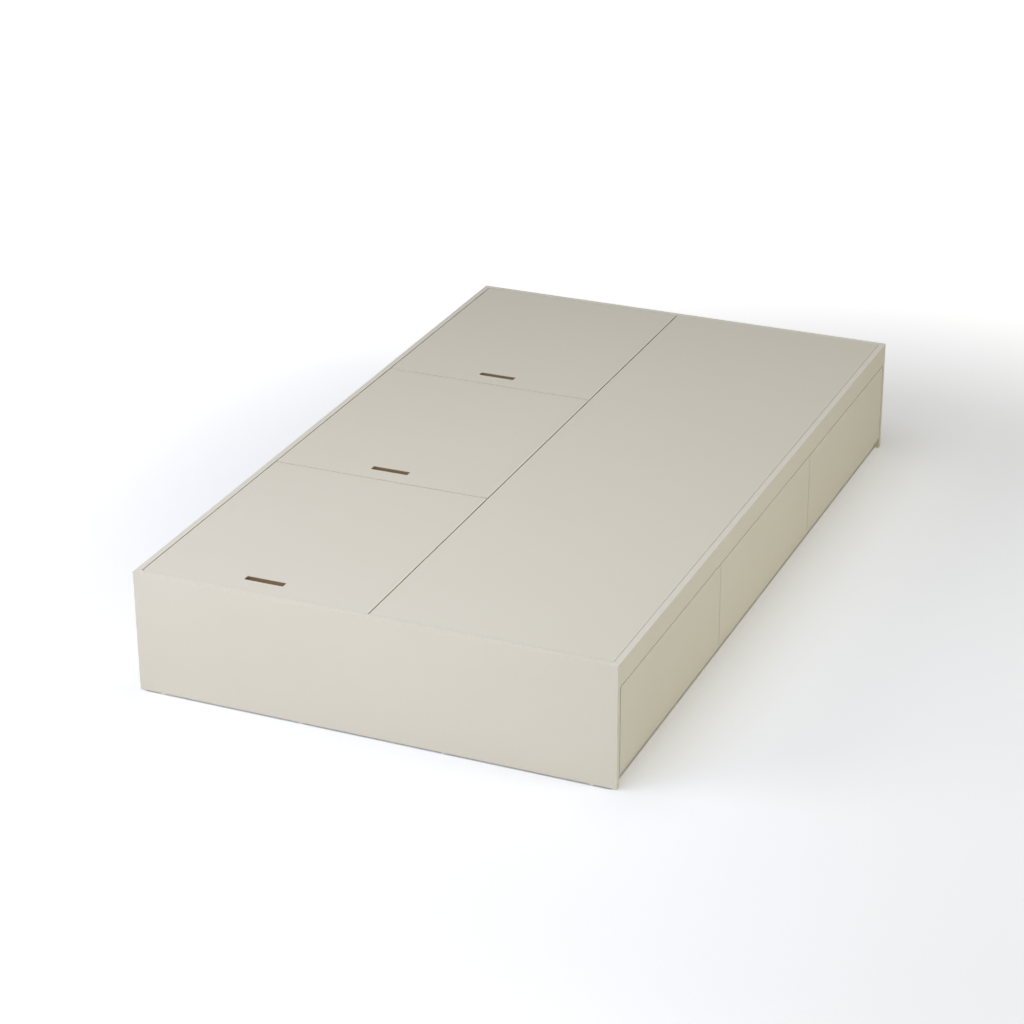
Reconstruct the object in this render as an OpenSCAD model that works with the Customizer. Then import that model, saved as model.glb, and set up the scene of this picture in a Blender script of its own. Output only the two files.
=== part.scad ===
// Tatami platform bed: a low box bed with three lift-up lids and three side drawers.
// X runs across the bed (drawers at +X), Y along it (foot end at -Y), Z up.
// The origin is on the floor under the middle of the bed.

/* [Overall] */
// Length over the end panels
bed_length = 2030; // [1830:10:2230]
// Width over the left side panel and the drawer fronts
bed_width = 1200; // [1100:10:1500]
// Height of the deck above the floor
bed_height = 310; // [290:5:400]

/* [Boards] */
// Thickness of the carcass boards and drawer fronts
board_t = 15; // [14:1:18]
// Thickness of the lids and the fixed deck panel
deck_t = 18; // [17:1:22]
// Thickness of the drawer box boards
box_t = 12; // [11:1:15]
// Thickness of the drawer bottom
drawer_bottom_t = 5; // [3:1:6]
// Thickness of the storage floor boards
storage_floor_t = 9; // [6:1:15]

/* [Deck] */
// Place of the lengthwise gap in the deck, from the middle of the bed
deck_gap_x = -4.5; // [-60:0.5:60]
// Width of the gaps beside the lids
side_gap = 3; // [2.5:0.1:4]
// Gap in front of each lid
lid_front_gap = 0.8; // [0.5:0.1:1.5]
// Play between a turning lid and the edge behind it
lid_turn_play = 0.2; // [0.1:0.1:1]
// Joint between the fixed deck panel and the boards round it
deck_joint = 1; // [0.5:0.1:2]
// Thickness of the bumper pads under the lids
bumper_t = 1.5; // [1.3:0.1:3]
// Diameter of the bumper pads
bumper_d = 12; // [8:1:14]
// Distance of the bumper pads from a lid's ends
bumper_inset = 60; // [40:5:120]
// Gap between the lids and the divider's side face
lid_divider_gap = 1; // [0.5:0.1:1.5]

/* [Finger pulls] */
// Length of a finger pull
pull_length = 100; // [70:5:140]
// Width of a finger pull
pull_width = 19; // [16:1:30]
// Height of a finger pull's tray
pull_height = 12; // [10:0.5:13]
// Wall of a finger pull
pull_wall = 1.2; // [0.8:0.1:2]
// Floor of a finger pull
pull_floor = 1.5; // [1.2:0.1:2]
// Corner radius of a finger pull
pull_corner = 2; // [1:0.5:4]
// Distance from a lid's front edge to its finger pull
pull_edge = 48; // [30:1:100]
// Distance of a finger pull's screws from its ends
pull_screw_inset = 13; // [8:1:25]

/* [Lid hinges] */
// Depth of the hinge axis below the deck
hinge_drop = 5; // [4.8:0.1:5.5]
// Distance of the hinge axis from a lid's rear edge
hinge_inset = 4.5; // [4.2:0.1:4.8]
// Length of a hinge leaf behind its axis
leaf_length = 45; // [40:1:70]
// Width of a hinge leaf
leaf_width = 7; // [6.5:0.1:8]
// Thickness of a hinge leaf
leaf_t = 2.5; // [2:0.1:3]
// Distance of a hinge leaf's outer screw from its end
leaf_screw_inset = 7; // [5:1:10]
// Distance between a hinge leaf's screws
leaf_screw_pitch = 20; // [10:1:24]
// Diameter of the hinge pin
pin_d = 4; // [3:0.1:4.5]
// Reach of the hinge pin past the lid's leaf
pin_tail = 3; // [1:0.5:6]
// Width of the hinge pin's shoulder
pin_shoulder = 1; // [0.5:0.1:1.5]

/* [Drawers] */
// Height of the rail above the drawers
rail_height = 58; // [45:1:80]
// Gap above the drawer fronts and between them
front_gap = 2; // [1.5:0.1:3]
// Gap between the outer drawer fronts and the end panels
front_end_gap = 4; // [2:0.5:5]
// Height of the plinth rail
plinth_height = 42; // [30:1:60]
// Lap of the drawer fronts over the plinth rail
front_lap = 11; // [5:1:20]
// Clearance of the drawer boxes over the plinth rail
box_clearance = 5; // [3:1:15]
// Drop of a drawer box's upper edge below its front's upper edge
box_drop = 20; // [5:1:60]
// Depth of a drawer box from front to back
box_depth = 500; // [400:10:510]
// Depth of the groove that holds a drawer bottom
groove_depth = 5; // [3:0.5:6]
// Height of the groove above a drawer box's lower edge
groove_rise = 8; // [6:1:15]
// Distance of the front's screws from a drawer box's sides
front_screw_inset = 90; // [40:5:200]
// Distance of the front's screws from a drawer box's upper and lower edges
front_screw_rise = 45; // [25:1:60]
// Distance of the corner screws from a drawer box's upper and lower edges
corner_screw_rise = 30; // [20:1:50]

/* [Drawer runners] */
// Room for a runner beside a drawer box
runner_space = 13; // [12.7:0.1:14]
// Height of a runner
runner_height = 45; // [40:1:50]
// Distance of a runner's ends from the ends of the drawer box
runner_inset = 5; // [2:1:20]
// Height of the runners above a drawer box's lower edge
runner_rise = 50; // [40:1:70]
// Sheet thickness of the runner members
runner_sheet = 1.2; // [1:0.1:1.5]
// Play between the runner members
runner_play = 0.5; // [0.3:0.1:0.7]
// Distance of the runner screws from a runner's ends
runner_screw_inset = 35; // [20:1:80]

/* [Ledges and floor] */
// Side of the square ledges under the lids and the deck panel
ledge = 20; // [16:1:25]
// Side of the square cleats under the storage floors
floor_cleat = 15; // [12:1:25]
// Gap round the storage floor boards
floor_gap = 0.5; // [0.3:0.1:1.5]
// Distance of the ledge and cleat screws from the ends of their bar
ledge_screw_inset = 80; // [40:5:150]
// Thickness of the floor glides
glide_t = 3; // [2:0.5:6]
// Diameter of the floor glides
glide_d = 13; // [10:1:14]
// Distance of the outer glides from the ends of the end panels
glide_inset = 60; // [20:5:120]
// Distance between the glides under the lengthwise boards
glide_pitch = 600; // [400:50:750]

/* [Board joints] */
// Diameter of a cam lock
cam_d = 15; // [13:1:16]
// Depth of a cam lock
cam_depth = 12; // [11:0.5:13]
// Distance of a cam lock's axis from the joint
cam_setback = 34; // [24:1:40]
// Diameter of a cam bolt
bolt_d = 6; // [5:0.5:7]
// Reach of a cam bolt into the panel it is screwed into
bolt_grip = 11; // [8:0.5:12]
// Diameter of a dowel
dowel_d = 8; // [6:1:9]
// Reach of a dowel into a board's end
dowel_reach = 20; // [12:1:25]
// Reach of a dowel into the panel across the joint
dowel_grip = 10; // [6:0.5:12]
// Height of the lowest joints above the boards' lower edge
joint_rise = 60; // [50:1:75]
// Depth of the highest joints below the deck's underside
joint_drop = 60; // [50:1:75]
// Height between joints that meet on the divider
joint_stagger = 30; // [20:1:34]
// Height between the cam and the dowel in the end of the top side rail
rail_joint_pitch = 16; // [14:1:20]

/* [Screws] */
// Diameter of the wood screws
screw_d = 3.5; // [3:0.1:4]
// Head diameter of the wood screws
screw_head_d = 7; // [6:0.1:8]
// Diameter of the small hinge and pull screws
small_screw_d = 2.5; // [2:0.1:2.8]
// Head diameter of the small screws
small_head_d = 4.6; // [4:0.1:5.4]
// Reach of the screws into the board behind
screw_grip = 10; // [6:0.5:12]
// Reach of the screws into the end of a drawer box's board
corner_screw_grip = 30; // [20:1:45]
// Reach of the runner and hinge screws into the board behind
small_screw_grip = 8.5; // [5:0.5:10]
// Distance along a board between screws that enter it from both sides
screw_stagger = 20; // [10:1:30]
// Reach of the finger pull screws into the lid
pull_screw_grip = 4; // [2:0.5:4.5]

/* [Hidden] */

$fn = 48;
fit = 0.05;         // radial clearance of pins, bolts, dowels and screws in their holes
seat = 0.2;         // clearance round pieces let into a board
shoulder_play = 0.3; // play between the hinge pin's shoulder and the lid's leaf
over = 1;           // overshoot of a cut past a face
FOOT = 0;
MIDDLE = 1;
HEAD = 2;
BAYS = 3;
LEFT = -1;
RIGHT = 1;

// Main planes
outer_x = bed_width / 2;
outer_y = bed_length / 2;
inner_y = outer_y - board_t;
side_face = -outer_x + board_t;             // inner face of the left side panel
rail_face = outer_x - board_t;              // inner face of the top side rail and drawer fronts
deck_under = bed_height - deck_t;
ledge_top = deck_under - bumper_t;
plinth_top = glide_t + plinth_height;
rail_bottom = bed_height - rail_height;

// Deck, across the bed
lid_x = [side_face + side_gap, deck_gap_x - side_gap / 2];
lid_mid = (lid_x[0] + lid_x[1]) / 2;
deck_x = [deck_gap_x + side_gap / 2, rail_face - deck_joint];
divider_x = [lid_x[1] + lid_divider_gap, lid_x[1] + lid_divider_gap + board_t];
divider_mid = (divider_x[0] + divider_x[1]) / 2;

// Lids and storage compartments, along the bed
lid_pitch = 2 * inner_y / BAYS;
lid_stop_angle = 108;                       // the lids open this far, to just clear of the edge behind them
lid_corner_reach = norm([hinge_inset, hinge_drop]);
lid_open_reach = hinge_drop * (1 - cos(lid_stop_angle)) / sin(lid_stop_angle);
lid_rear_gap = max(lid_corner_reach, lid_open_reach) - hinge_inset + lid_turn_play;
function seam_y(k) = -inner_y + k * lid_pitch;
function lid_y(k) = [seam_y(k) + lid_front_gap, seam_y(k + 1) - lid_rear_gap];
function compartment_y(k) = [
    k == FOOT ? -inner_y : seam_y(k) + board_t / 2,
    k == HEAD ? inner_y : seam_y(k + 1) - board_t / 2
];

// Drawer bays, along the bed
bay_width = (2 * inner_y - (BAYS - 1) * board_t) / BAYS;
function bay_y(b) = let (y = -inner_y + b * (bay_width + board_t)) [y, y + bay_width];
function front_y(b) = [
    b == FOOT ? -inner_y + front_end_gap : bay_y(b)[0] + (b == MIDDLE ? -board_t : 0) + front_gap / 2,
    b == HEAD ? inner_y - front_end_gap : bay_y(b)[1] + (b == MIDDLE ? board_t : 0) - front_gap / 2
];
front_z = [plinth_top - front_lap, rail_bottom - front_gap];

// Drawer boxes
box_x = [rail_face - box_depth, rail_face];
box_z = [plinth_top + box_clearance, front_z[1] - box_drop];
bottom_z = [box_z[0] + groove_rise, box_z[0] + groove_rise + drawer_bottom_t];
function box_y(b) = [bay_y(b)[0] + runner_space, bay_y(b)[1] - runner_space];

// Runners: outer member on the wall, inner member on the drawer box, one between them
runner_x = box_x[0] + runner_inset;
runner_length = box_depth - 2 * runner_inset;
runner_z = box_z[0] + runner_rise;
runner_step = runner_sheet + runner_play;   // each member nests this far inside the last
runner_screw_head = [6, 1.4];               // diameter and height of the runner screws' heads
outer_web_room = runner_screw_head[1] + runner_play;
runner_screw_places = [
    runner_screw_inset, (runner_length - screw_stagger) / 2, runner_length - runner_screw_inset - screw_stagger
];
runner_screw_length = runner_sheet + small_screw_grip;

// Lid hinges
axis_z = bed_height - hinge_drop;
function axis_y(k) = lid_y(k)[1] - hinge_inset;
leaf_screw_places = [leaf_length - leaf_screw_inset - leaf_screw_pitch, leaf_length - leaf_screw_inset];
leaf_screw_length = leaf_t + small_screw_grip;

// Finger pulls
pull_pocket_depth = pull_height + seat;
pull_z = bed_height - pull_pocket_depth;
function pull_y(k) = lid_y(k)[0] + pull_edge + pull_width / 2;
pull_screw_x = pull_length / 2 - pull_screw_inset;

// Joint heights
joint_low = glide_t + joint_rise;
joint_high = deck_under - joint_drop;
joint_mid = (joint_low + joint_high) / 2;
rail_cam_z = (rail_bottom + bed_height + rail_joint_pitch) / 2;
rail_dowel_z = (rail_bottom + bed_height - rail_joint_pitch) / 2;
plinth_cam_z = glide_t + plinth_height / 2;
partition_dowel_z = (rail_bottom + deck_under) / 2;

// Colours
CREAM = [0.84, 0.82, 0.77];
INNER = [0.80, 0.77, 0.70];
PINE = [0.80, 0.66, 0.46];
PLY = [0.78, 0.67, 0.50];
BRONZE = [0.40, 0.32, 0.24];
STEEL = [0.68, 0.69, 0.70];
ZINC = [0.78, 0.78, 0.76];
BEECH = [0.76, 0.58, 0.38];
RUBBER = [0.25, 0.24, 0.23];
NYLON = [0.85, 0.84, 0.80];

// ---------------------------------------------------------------- shared shapes

// A board that fills a span along each axis
module board(x, y, z) {
    translate([x[0], y[0], z[0]]) cube([x[1] - x[0], y[1] - y[0], z[1] - z[0]]);
}

// An extrusion along +X of a shape drawn in the Y-Z plane
module along_x(length) {
    rotate([90, 0, 90]) linear_extrude(length) children();
}

// A cylinder along +X
module rod_x(d, length) {
    rotate([0, 90, 0]) cylinder(d = d, h = length);
}

// A flat plate with round corners
module round_plate(length, width, r, height) {
    linear_extrude(height) {
        square([length - 2 * r, width], center = true);
        square([length, width - 2 * r], center = true);
        for (sx = [-1, 1], sy = [-1, 1])
            translate([sx * (length / 2 - r), sy * (width / 2 - r)]) circle(r);
    }
}

// A countersunk screw pointing down from its head at the origin; play widens it into a hole
module flat_screw(d, length, head_d, play = 0) {
    rotate_extrude() polygon([
        [0, play > 0 ? over : 0], [head_d / 2 + play, play > 0 ? over : 0], [head_d / 2 + play, 0],
        [d / 2 + play, -(head_d - d) / 2], [d / 2 + play, -length - play], [0, -length - play]
    ]);
}

module cross_recess(head_d, depth) {
    for (a = [0, 90])
        rotate([0, 0, a]) translate([-head_d * 0.3, -head_d * 0.06, -depth])
            cube([head_d * 0.6, head_d * 0.12, depth + over]);
}

module driven_flat_screw(d, length, head_d) {
    difference() {
        flat_screw(d, length, head_d);
        cross_recess(head_d, head_d * 0.2);
    }
}

// A pan-head screw pointing down, its head standing on the origin
module pan_screw(length) {
    head = runner_screw_head;
    difference() {
        rotate_extrude() polygon([
            [0, head[1]], [head[0] / 2 - 0.5, head[1]], [head[0] / 2, head[1] - 0.5], [head[0] / 2, 0],
            [screw_d / 2, 0], [screw_d / 2, -length], [0, -length]
        ]);
        translate([0, 0, head[1]]) cross_recess(head[0], 0.8);
    }
}

// Lays a screw that points down so that it points along the heading (degrees about Z)
module pointing(heading) {
    rotate([0, 0, heading]) rotate([0, -90, 0]) children();
}

// ---------------------------------------------------------------- board joints

// A joint is [point on the joint face in the middle of the board, heading into the board,
// side of the board that its cam is let in from: 1 left or -1 right of the heading]
end_boards = [
    [(-outer_x + side_face) / 2, [joint_low, joint_high], joint_mid, RIGHT],
    [divider_mid, [joint_low, joint_high], joint_mid, RIGHT],
    [(outer_x + rail_face) / 2, [rail_cam_z], rail_dowel_z, LEFT],
    [rail_face - board_t / 2, [plinth_cam_z], undef, LEFT]
];
END_SIDE = 0;
END_DIVIDER = 1;
END_RAIL = 2;
END_PLINTH = 3;

// Cams and dowels of one lengthwise board, at the end panel given by dir (-1 foot, 1 head)
function end_cams(i, dir) = [
    for (z = end_boards[i][1]) [[end_boards[i][0], dir * inner_y, z], -90 * dir, end_boards[i][3] * dir]
];
function end_dowels(i, dir) = end_boards[i][2] == undef ? [] :
    [[[end_boards[i][0], dir * inner_y, end_boards[i][2]], -90 * dir, 1]];
function both_ends_cams(i) = concat(end_cams(i, -1), end_cams(i, 1));
function both_ends_dowels(i) = concat(end_dowels(i, -1), end_dowels(i, 1));
function panel_cams(dir) = [for (i = [0:len(end_boards) - 1]) each end_cams(i, dir)];
function panel_dowels(dir) = [for (i = [0:len(end_boards) - 1]) each end_dowels(i, dir)];

function drawer_partition_mid(b) = bay_y(b)[1] + board_t / 2;
function drawer_partition_cams(b) = [
    for (z = [joint_low, joint_high]) [[divider_x[1], drawer_partition_mid(b), z], 0, 1]
];
function drawer_partition_dowels(b) = [
    [[divider_x[1], drawer_partition_mid(b), joint_mid - joint_stagger / 2], 0, 1],
    [[rail_face, drawer_partition_mid(b), partition_dowel_z], 180, 1]
];
function storage_partition_cams(k) = [
    for (z = [joint_low + joint_stagger, joint_high - joint_stagger]) each [
        [[side_face, seam_y(k + 1), z], 0, 1], [[divider_x[0], seam_y(k + 1), z], 180, -1]
    ]
];
function storage_partition_dowels(k) = [
    [[side_face, seam_y(k + 1), joint_mid + joint_stagger / 2], 0, 1],
    [[divider_x[0], seam_y(k + 1), joint_mid + joint_stagger / 2], 180, 1]
];
inner_cams = [for (k = [FOOT, MIDDLE]) each concat(drawer_partition_cams(k), storage_partition_cams(k))];
inner_dowels = [
    for (k = [FOOT, MIDDLE]) each concat(drawer_partition_dowels(k), storage_partition_dowels(k))
];
all_cams = concat(panel_cams(-1), panel_cams(1), inner_cams);
all_dowels = concat(panel_dowels(-1), panel_dowels(1), inner_dowels);

module at_joint(j) {
    translate(j[0]) rotate([0, 0, j[1]]) children();
}

module cam_place(j) {
    at_joint(j) translate([cam_setback, 0, 0]) mirror([0, j[2] < 0 ? 1 : 0, 0])
        translate([0, board_t / 2 - cam_depth, 0]) rotate([-90, 0, 0]) children();
}

// Holes in the board that carries the cam
module cam_holes(cams) {
    for (j = cams) {
        cam_place(j) cylinder(d = cam_d + 2 * fit, h = cam_depth + over);
        at_joint(j) translate([-over, 0, 0]) rod_x(bolt_d + 2 * seat, cam_setback + over);
    }
}

// Holes in the panel that takes the bolt
module bolt_holes(cams) {
    for (j = cams) at_joint(j) translate([-bolt_grip - fit, 0, 0]) rod_x(bolt_d + 2 * fit, bolt_grip + over);
}

module dowel_holes(dowels) {
    for (j = dowels) at_joint(j) translate([-dowel_grip - seat, 0, 0])
        rod_x(dowel_d + 2 * fit, dowel_grip + dowel_reach + 2 * seat);
}

module cam_lock(j) {
    bolt_head = 3.2;
    difference() {
        cam_place(j) difference() {
            cylinder(d = cam_d, h = cam_depth);
            translate([0, 0, cam_depth]) cross_recess(cam_d * 0.8, 2);
        }
        at_joint(j) translate([cam_setback - cam_d / 2 - over, -bolt_d / 2 - seat, -bolt_d / 2 - seat])
            cube([cam_d / 2 + over + bolt_head + seat, bolt_d + 2 * seat, bolt_d + 2 * seat]);
    }
}

module cam_bolt(j) {
    head = 3;
    neck = 3.5;
    neck_r = bolt_d * 0.3;
    at_joint(j) rotate([0, 90, 0]) rotate_extrude() polygon([
        [0, -bolt_grip], [bolt_d / 2, -bolt_grip], [bolt_d / 2, 0], [bolt_d / 2 - 0.5, 0.5],
        [bolt_d / 2 - 0.5, cam_setback - neck], [neck_r, cam_setback - neck], [neck_r, cam_setback],
        [bolt_d / 2, cam_setback], [bolt_d / 2, cam_setback + head], [0, cam_setback + head]
    ]);
}

module dowel(j) {
    chamfer = 1;
    at_joint(j) rotate([0, 90, 0]) rotate_extrude() polygon([
        [0, -dowel_grip], [dowel_d / 2 - chamfer, -dowel_grip], [dowel_d / 2, chamfer - dowel_grip],
        [dowel_d / 2, dowel_reach - chamfer], [dowel_d / 2 - chamfer, dowel_reach], [0, dowel_reach]
    ]);
}

// ---------------------------------------------------------------- ledges and their screws

// Places along a bar for two screws, moved from its ends by a shift
function bar_screw_ys(y, shift) = [y[0] + ledge_screw_inset + shift, y[1] - ledge_screw_inset - shift];

// A bar along Y against a wall: [x span, y span, z span, heading of its screws, x of their heads,
// shift of its screws]
lid_ledge_bars = [
    for (k = [0:BAYS - 1]) each [
        [[side_face, side_face + ledge], compartment_y(k), [ledge_top - ledge, ledge_top], 180,
            side_face + ledge, 0],
        [[divider_x[0] - ledge, divider_x[0]], compartment_y(k), [ledge_top - ledge, ledge_top], 0,
            divider_x[0] - ledge, 0]
    ]
];
deck_cleat_bars = [
    for (b = [0:BAYS - 1]) each [
        [[divider_x[1], divider_x[1] + ledge], bay_y(b), [deck_under - ledge, deck_under], 180,
            divider_x[1] + ledge, screw_stagger],
        [[rail_face - ledge, rail_face], bay_y(b), [deck_under - ledge, deck_under], 0,
            rail_face - ledge, screw_stagger]
    ]
];
floor_cleat_bars = [
    for (k = [0:BAYS - 1]) each [
        [[side_face, side_face + floor_cleat], compartment_y(k), [glide_t, glide_t + floor_cleat], 180,
            side_face + floor_cleat, 0],
        [[divider_x[0] - floor_cleat, divider_x[0]], compartment_y(k), [glide_t, glide_t + floor_cleat], 0,
            divider_x[0] - floor_cleat, 0]
    ]
];
function bar_width(bar) = bar[0][1] - bar[0][0];
function bar_screw_length(bar) = bar_width(bar) + screw_grip;

module bar_solid(bar) {
    difference() {
        board(bar[0], bar[1], bar[2]);
        bar_screw_places(bar) flat_screw(screw_d, bar_screw_length(bar), screw_head_d, fit);
    }
}

module bar_screw_places(bar) {
    for (y = bar_screw_ys(bar[1], bar[5]))
        translate([bar[4], y, (bar[2][0] + bar[2][1]) / 2]) pointing(bar[3]) children();
}

module bar_screws(bars) {
    for (bar = bars) bar_screw_places(bar) driven_flat_screw(screw_d, bar_screw_length(bar), screw_head_d);
}

// Screw holes that the bars on one side of a board leave in it
module bar_screw_holes(bars, heading) {
    for (bar = bars)
        if (bar[3] == heading)
            bar_screw_places(bar) flat_screw(screw_d, bar_screw_length(bar), screw_head_d, fit);
}

// Screws that go up through the deck cleats into the fixed deck panel
module deck_screw_places() {
    for (bar = deck_cleat_bars, y = bar_screw_ys(bar[1], 2 * screw_stagger))
        translate([(bar[0][0] + bar[0][1]) / 2, y, deck_under - ledge]) mirror([0, 0, 1]) children();
}

module deck_screw_form(play) {
    flat_screw(screw_d, ledge + screw_grip, screw_head_d, play);
}

// ---------------------------------------------------------------- runners

// Places a runner at a wall: local +Y points from the wall to the drawer
module at_runner(b, side) {
    translate([runner_x, side == LEFT ? bay_y(b)[0] : bay_y(b)[1], runner_z])
        mirror([0, side == LEFT ? 0 : 1, 0]) children();
}

// A channel whose web lies at y = web and whose flanges reach to y = lip
module channel(web, lip, nest) {
    rise = [nest * runner_step, runner_height - nest * runner_step];
    y = [min(web, lip), max(web, lip)];
    web_y = web < lip ? web : web - runner_sheet;
    along_x(runner_length) union() {
        translate([web_y, rise[0]]) square([runner_sheet, rise[1] - rise[0]]);
        translate([y[0], rise[0]]) square([y[1] - y[0], runner_sheet]);
        translate([y[0], rise[1] - runner_sheet]) square([y[1] - y[0], runner_sheet]);
    }
}

// The middle bay's screws are moved, so that they clear those on the other side of a partition
function runner_screw_xs(b) = [for (x = runner_screw_places) x + (b == MIDDLE ? screw_stagger : 0)];

module outer_screw_places(b, side) {
    at_runner(b, side) for (x = runner_screw_xs(b))
        translate([x, runner_sheet, runner_height / 2]) rotate([-90, 0, 0]) children();
}

module inner_screw_places(b, side) {
    at_runner(b, side) for (x = runner_screw_xs(b))
        translate([x, runner_space - runner_sheet, runner_height / 2]) rotate([90, 0, 0]) children();
}

module runner_screw_hole() {
    translate([0, 0, -runner_screw_length - fit])
        cylinder(d = screw_d + 2 * fit, h = runner_screw_length + fit + over);
}

module outer_member(b, side) {
    difference() {
        at_runner(b, side) channel(0, runner_space - 2 * runner_step, 0);
        outer_screw_places(b, side) runner_screw_hole();
    }
}

module intermediate_member(b, side) {
    at_runner(b, side) channel(runner_sheet + outer_web_room, runner_space - runner_step, 1);
}

module inner_member(b, side) {
    difference() {
        at_runner(b, side) channel(runner_space, 2 * runner_sheet + outer_web_room + runner_play, 2);
        inner_screw_places(b, side) runner_screw_hole();
    }
}

// Holes for the outer members' screws in the wall on one side of a bay
module outer_screw_holes(b, side) {
    outer_screw_places(b, side) runner_screw_hole();
}

// ---------------------------------------------------------------- lid hinges

// Local frame of a hinge: origin on its axis at the lid's side edge, +X into the lid
module at_hinge(k, side) {
    translate([side == LEFT ? lid_x[0] : lid_x[1], axis_y(k), axis_z])
        mirror([side == LEFT ? 0 : 1, 0, 0]) children();
}

module leaf_shape(play = 0) {
    circle(d = leaf_width + 2 * play);
    translate([-leaf_length - play, -leaf_width / 2 - play])
        square([leaf_length + play, leaf_width + 2 * play]);
}

module lid_leaf_screw_places() {
    for (y = leaf_screw_places) translate([0, -y, 0]) pointing(0) children();
}

module frame_leaf_screw_places() {
    for (y = leaf_screw_places) translate([-side_gap, -y, 0]) pointing(180) children();
}

module lid_leaf() {
    difference() {
        along_x(leaf_t) leaf_shape();
        translate([-over, 0, 0]) rod_x(pin_d + 2 * fit, leaf_t + 2 * over);
        lid_leaf_screw_places() flat_screw(small_screw_d, leaf_screw_length, small_head_d, fit);
    }
}

module frame_leaf() {
    difference() {
        translate([-side_gap - leaf_t, 0, 0]) along_x(leaf_t) leaf_shape();
        translate([-side_gap - leaf_t - over, 0, 0]) rod_x(pin_d + 2 * fit, leaf_t + 2 * over);
        frame_leaf_screw_places() flat_screw(small_screw_d, leaf_screw_length, small_head_d, fit);
    }
}

// Room in the lid for its leaf, the pin's tail and the screws
module lid_hinge_cut() {
    translate([-over, 0, 0]) along_x(leaf_t + over) leaf_shape(seat / 2);
    rod_x(pin_d + 4 * fit, leaf_t + pin_tail + seat);
    lid_leaf_screw_places() flat_screw(small_screw_d, leaf_screw_length, small_head_d, fit);
}

// Room in the board opposite for the frame leaf and its screws
module frame_hinge_cut() {
    translate([-side_gap - leaf_t, 0, 0]) along_x(leaf_t + over) leaf_shape(seat / 2);
    frame_leaf_screw_places() flat_screw(small_screw_d, leaf_screw_length, small_head_d, fit);
}

module hinge_pin() {
    translate([-side_gap - leaf_t, 0, 0]) rod_x(pin_d, side_gap + 2 * leaf_t + pin_tail);
    translate([-side_gap + fit, 0, 0]) rod_x(pin_d + 2 * pin_shoulder, side_gap - fit - shoulder_play);
}

// ---------------------------------------------------------------- carcass

module end_panel(dir) {
    y = dir < 0 ? [-outer_y, -inner_y] : [inner_y, outer_y];
    color(CREAM) difference() {
        board([-outer_x, outer_x], y, [glide_t, bed_height]);
        bolt_holes(panel_cams(dir));
        dowel_holes(panel_dowels(dir));
        outer_screw_holes(dir < 0 ? FOOT : HEAD, dir < 0 ? LEFT : RIGHT);
    }
}

module left_side_panel() {
    color(CREAM) difference() {
        board([-outer_x, side_face], [-inner_y, inner_y], [glide_t, bed_height]);
        cam_holes(both_ends_cams(END_SIDE));
        dowel_holes(both_ends_dowels(END_SIDE));
        for (k = [FOOT, MIDDLE]) {
            bolt_holes([for (j = storage_partition_cams(k)) if (j[1] == 0) j]);
            dowel_holes([for (j = storage_partition_dowels(k)) if (j[1] == 0) j]);
        }
        bar_screw_holes(concat(lid_ledge_bars, floor_cleat_bars), 180);
        for (k = [0:BAYS - 1]) at_hinge(k, LEFT) frame_hinge_cut();
    }
}

module centre_divider() {
    color(INNER) difference() {
        board(divider_x, [-inner_y, inner_y], [glide_t, deck_under]);
        cam_holes(both_ends_cams(END_DIVIDER));
        dowel_holes(both_ends_dowels(END_DIVIDER));
        for (k = [FOOT, MIDDLE]) {
            bolt_holes(drawer_partition_cams(k));
            dowel_holes([drawer_partition_dowels(k)[0]]);
            bolt_holes([for (j = storage_partition_cams(k)) if (j[1] == 180) j]);
            dowel_holes([for (j = storage_partition_dowels(k)) if (j[1] == 180) j]);
        }
        bar_screw_holes(concat(lid_ledge_bars, floor_cleat_bars), 0);
        bar_screw_holes(deck_cleat_bars, 180);
    }
}

module top_side_rail() {
    color(CREAM) difference() {
        board([rail_face, outer_x], [-inner_y, inner_y], [rail_bottom, bed_height]);
        cam_holes(both_ends_cams(END_RAIL));
        dowel_holes(both_ends_dowels(END_RAIL));
        for (b = [FOOT, MIDDLE]) dowel_holes([drawer_partition_dowels(b)[1]]);
        bar_screw_holes(deck_cleat_bars, 0);
    }
}

module plinth_rail() {
    color(CREAM) difference() {
        board([rail_face - board_t, rail_face], [-inner_y, inner_y], [glide_t, plinth_top]);
        cam_holes(both_ends_cams(END_PLINTH));
    }
}

module fixed_deck_panel() {
    color(CREAM) difference() {
        board(deck_x, [-inner_y + deck_joint, inner_y - deck_joint], [deck_under, bed_height]);
        deck_screw_places() deck_screw_form(fit);
        for (k = [0:BAYS - 1]) at_hinge(k, RIGHT) frame_hinge_cut();
    }
}

module drawer_partition(b) {
    color(INNER) difference() {
        board([divider_x[1], rail_face], [bay_y(b)[1], bay_y(b + 1)[0]], [glide_t, deck_under]);
        board([rail_face - board_t, rail_face + over], [bay_y(b)[1] - over, bay_y(b + 1)[0] + over],
            [0, plinth_top]);
        cam_holes(drawer_partition_cams(b));
        dowel_holes(drawer_partition_dowels(b));
        outer_screw_holes(b, RIGHT);
        outer_screw_holes(b + 1, LEFT);
    }
}

module storage_partition(k) {
    color(INNER) difference() {
        board([side_face, divider_x[0]], [seam_y(k + 1) - board_t / 2, seam_y(k + 1) + board_t / 2],
            [glide_t, ledge_top]);
        cam_holes(storage_partition_cams(k));
        dowel_holes(storage_partition_dowels(k));
    }
}

module storage_floor(k) {
    y = compartment_y(k);
    z = glide_t + floor_cleat;
    color(PLY) board([side_face + floor_gap, divider_x[0] - floor_gap], [y[0] + floor_gap, y[1] - floor_gap],
        [z, z + storage_floor_t]);
}

module lid_ledges() {
    color(PINE) for (bar = lid_ledge_bars) bar_solid(bar);
}

module deck_cleats() {
    color(PINE) difference() {
        for (bar = deck_cleat_bars) bar_solid(bar);
        deck_screw_places() deck_screw_form(fit);
    }
}

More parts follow.
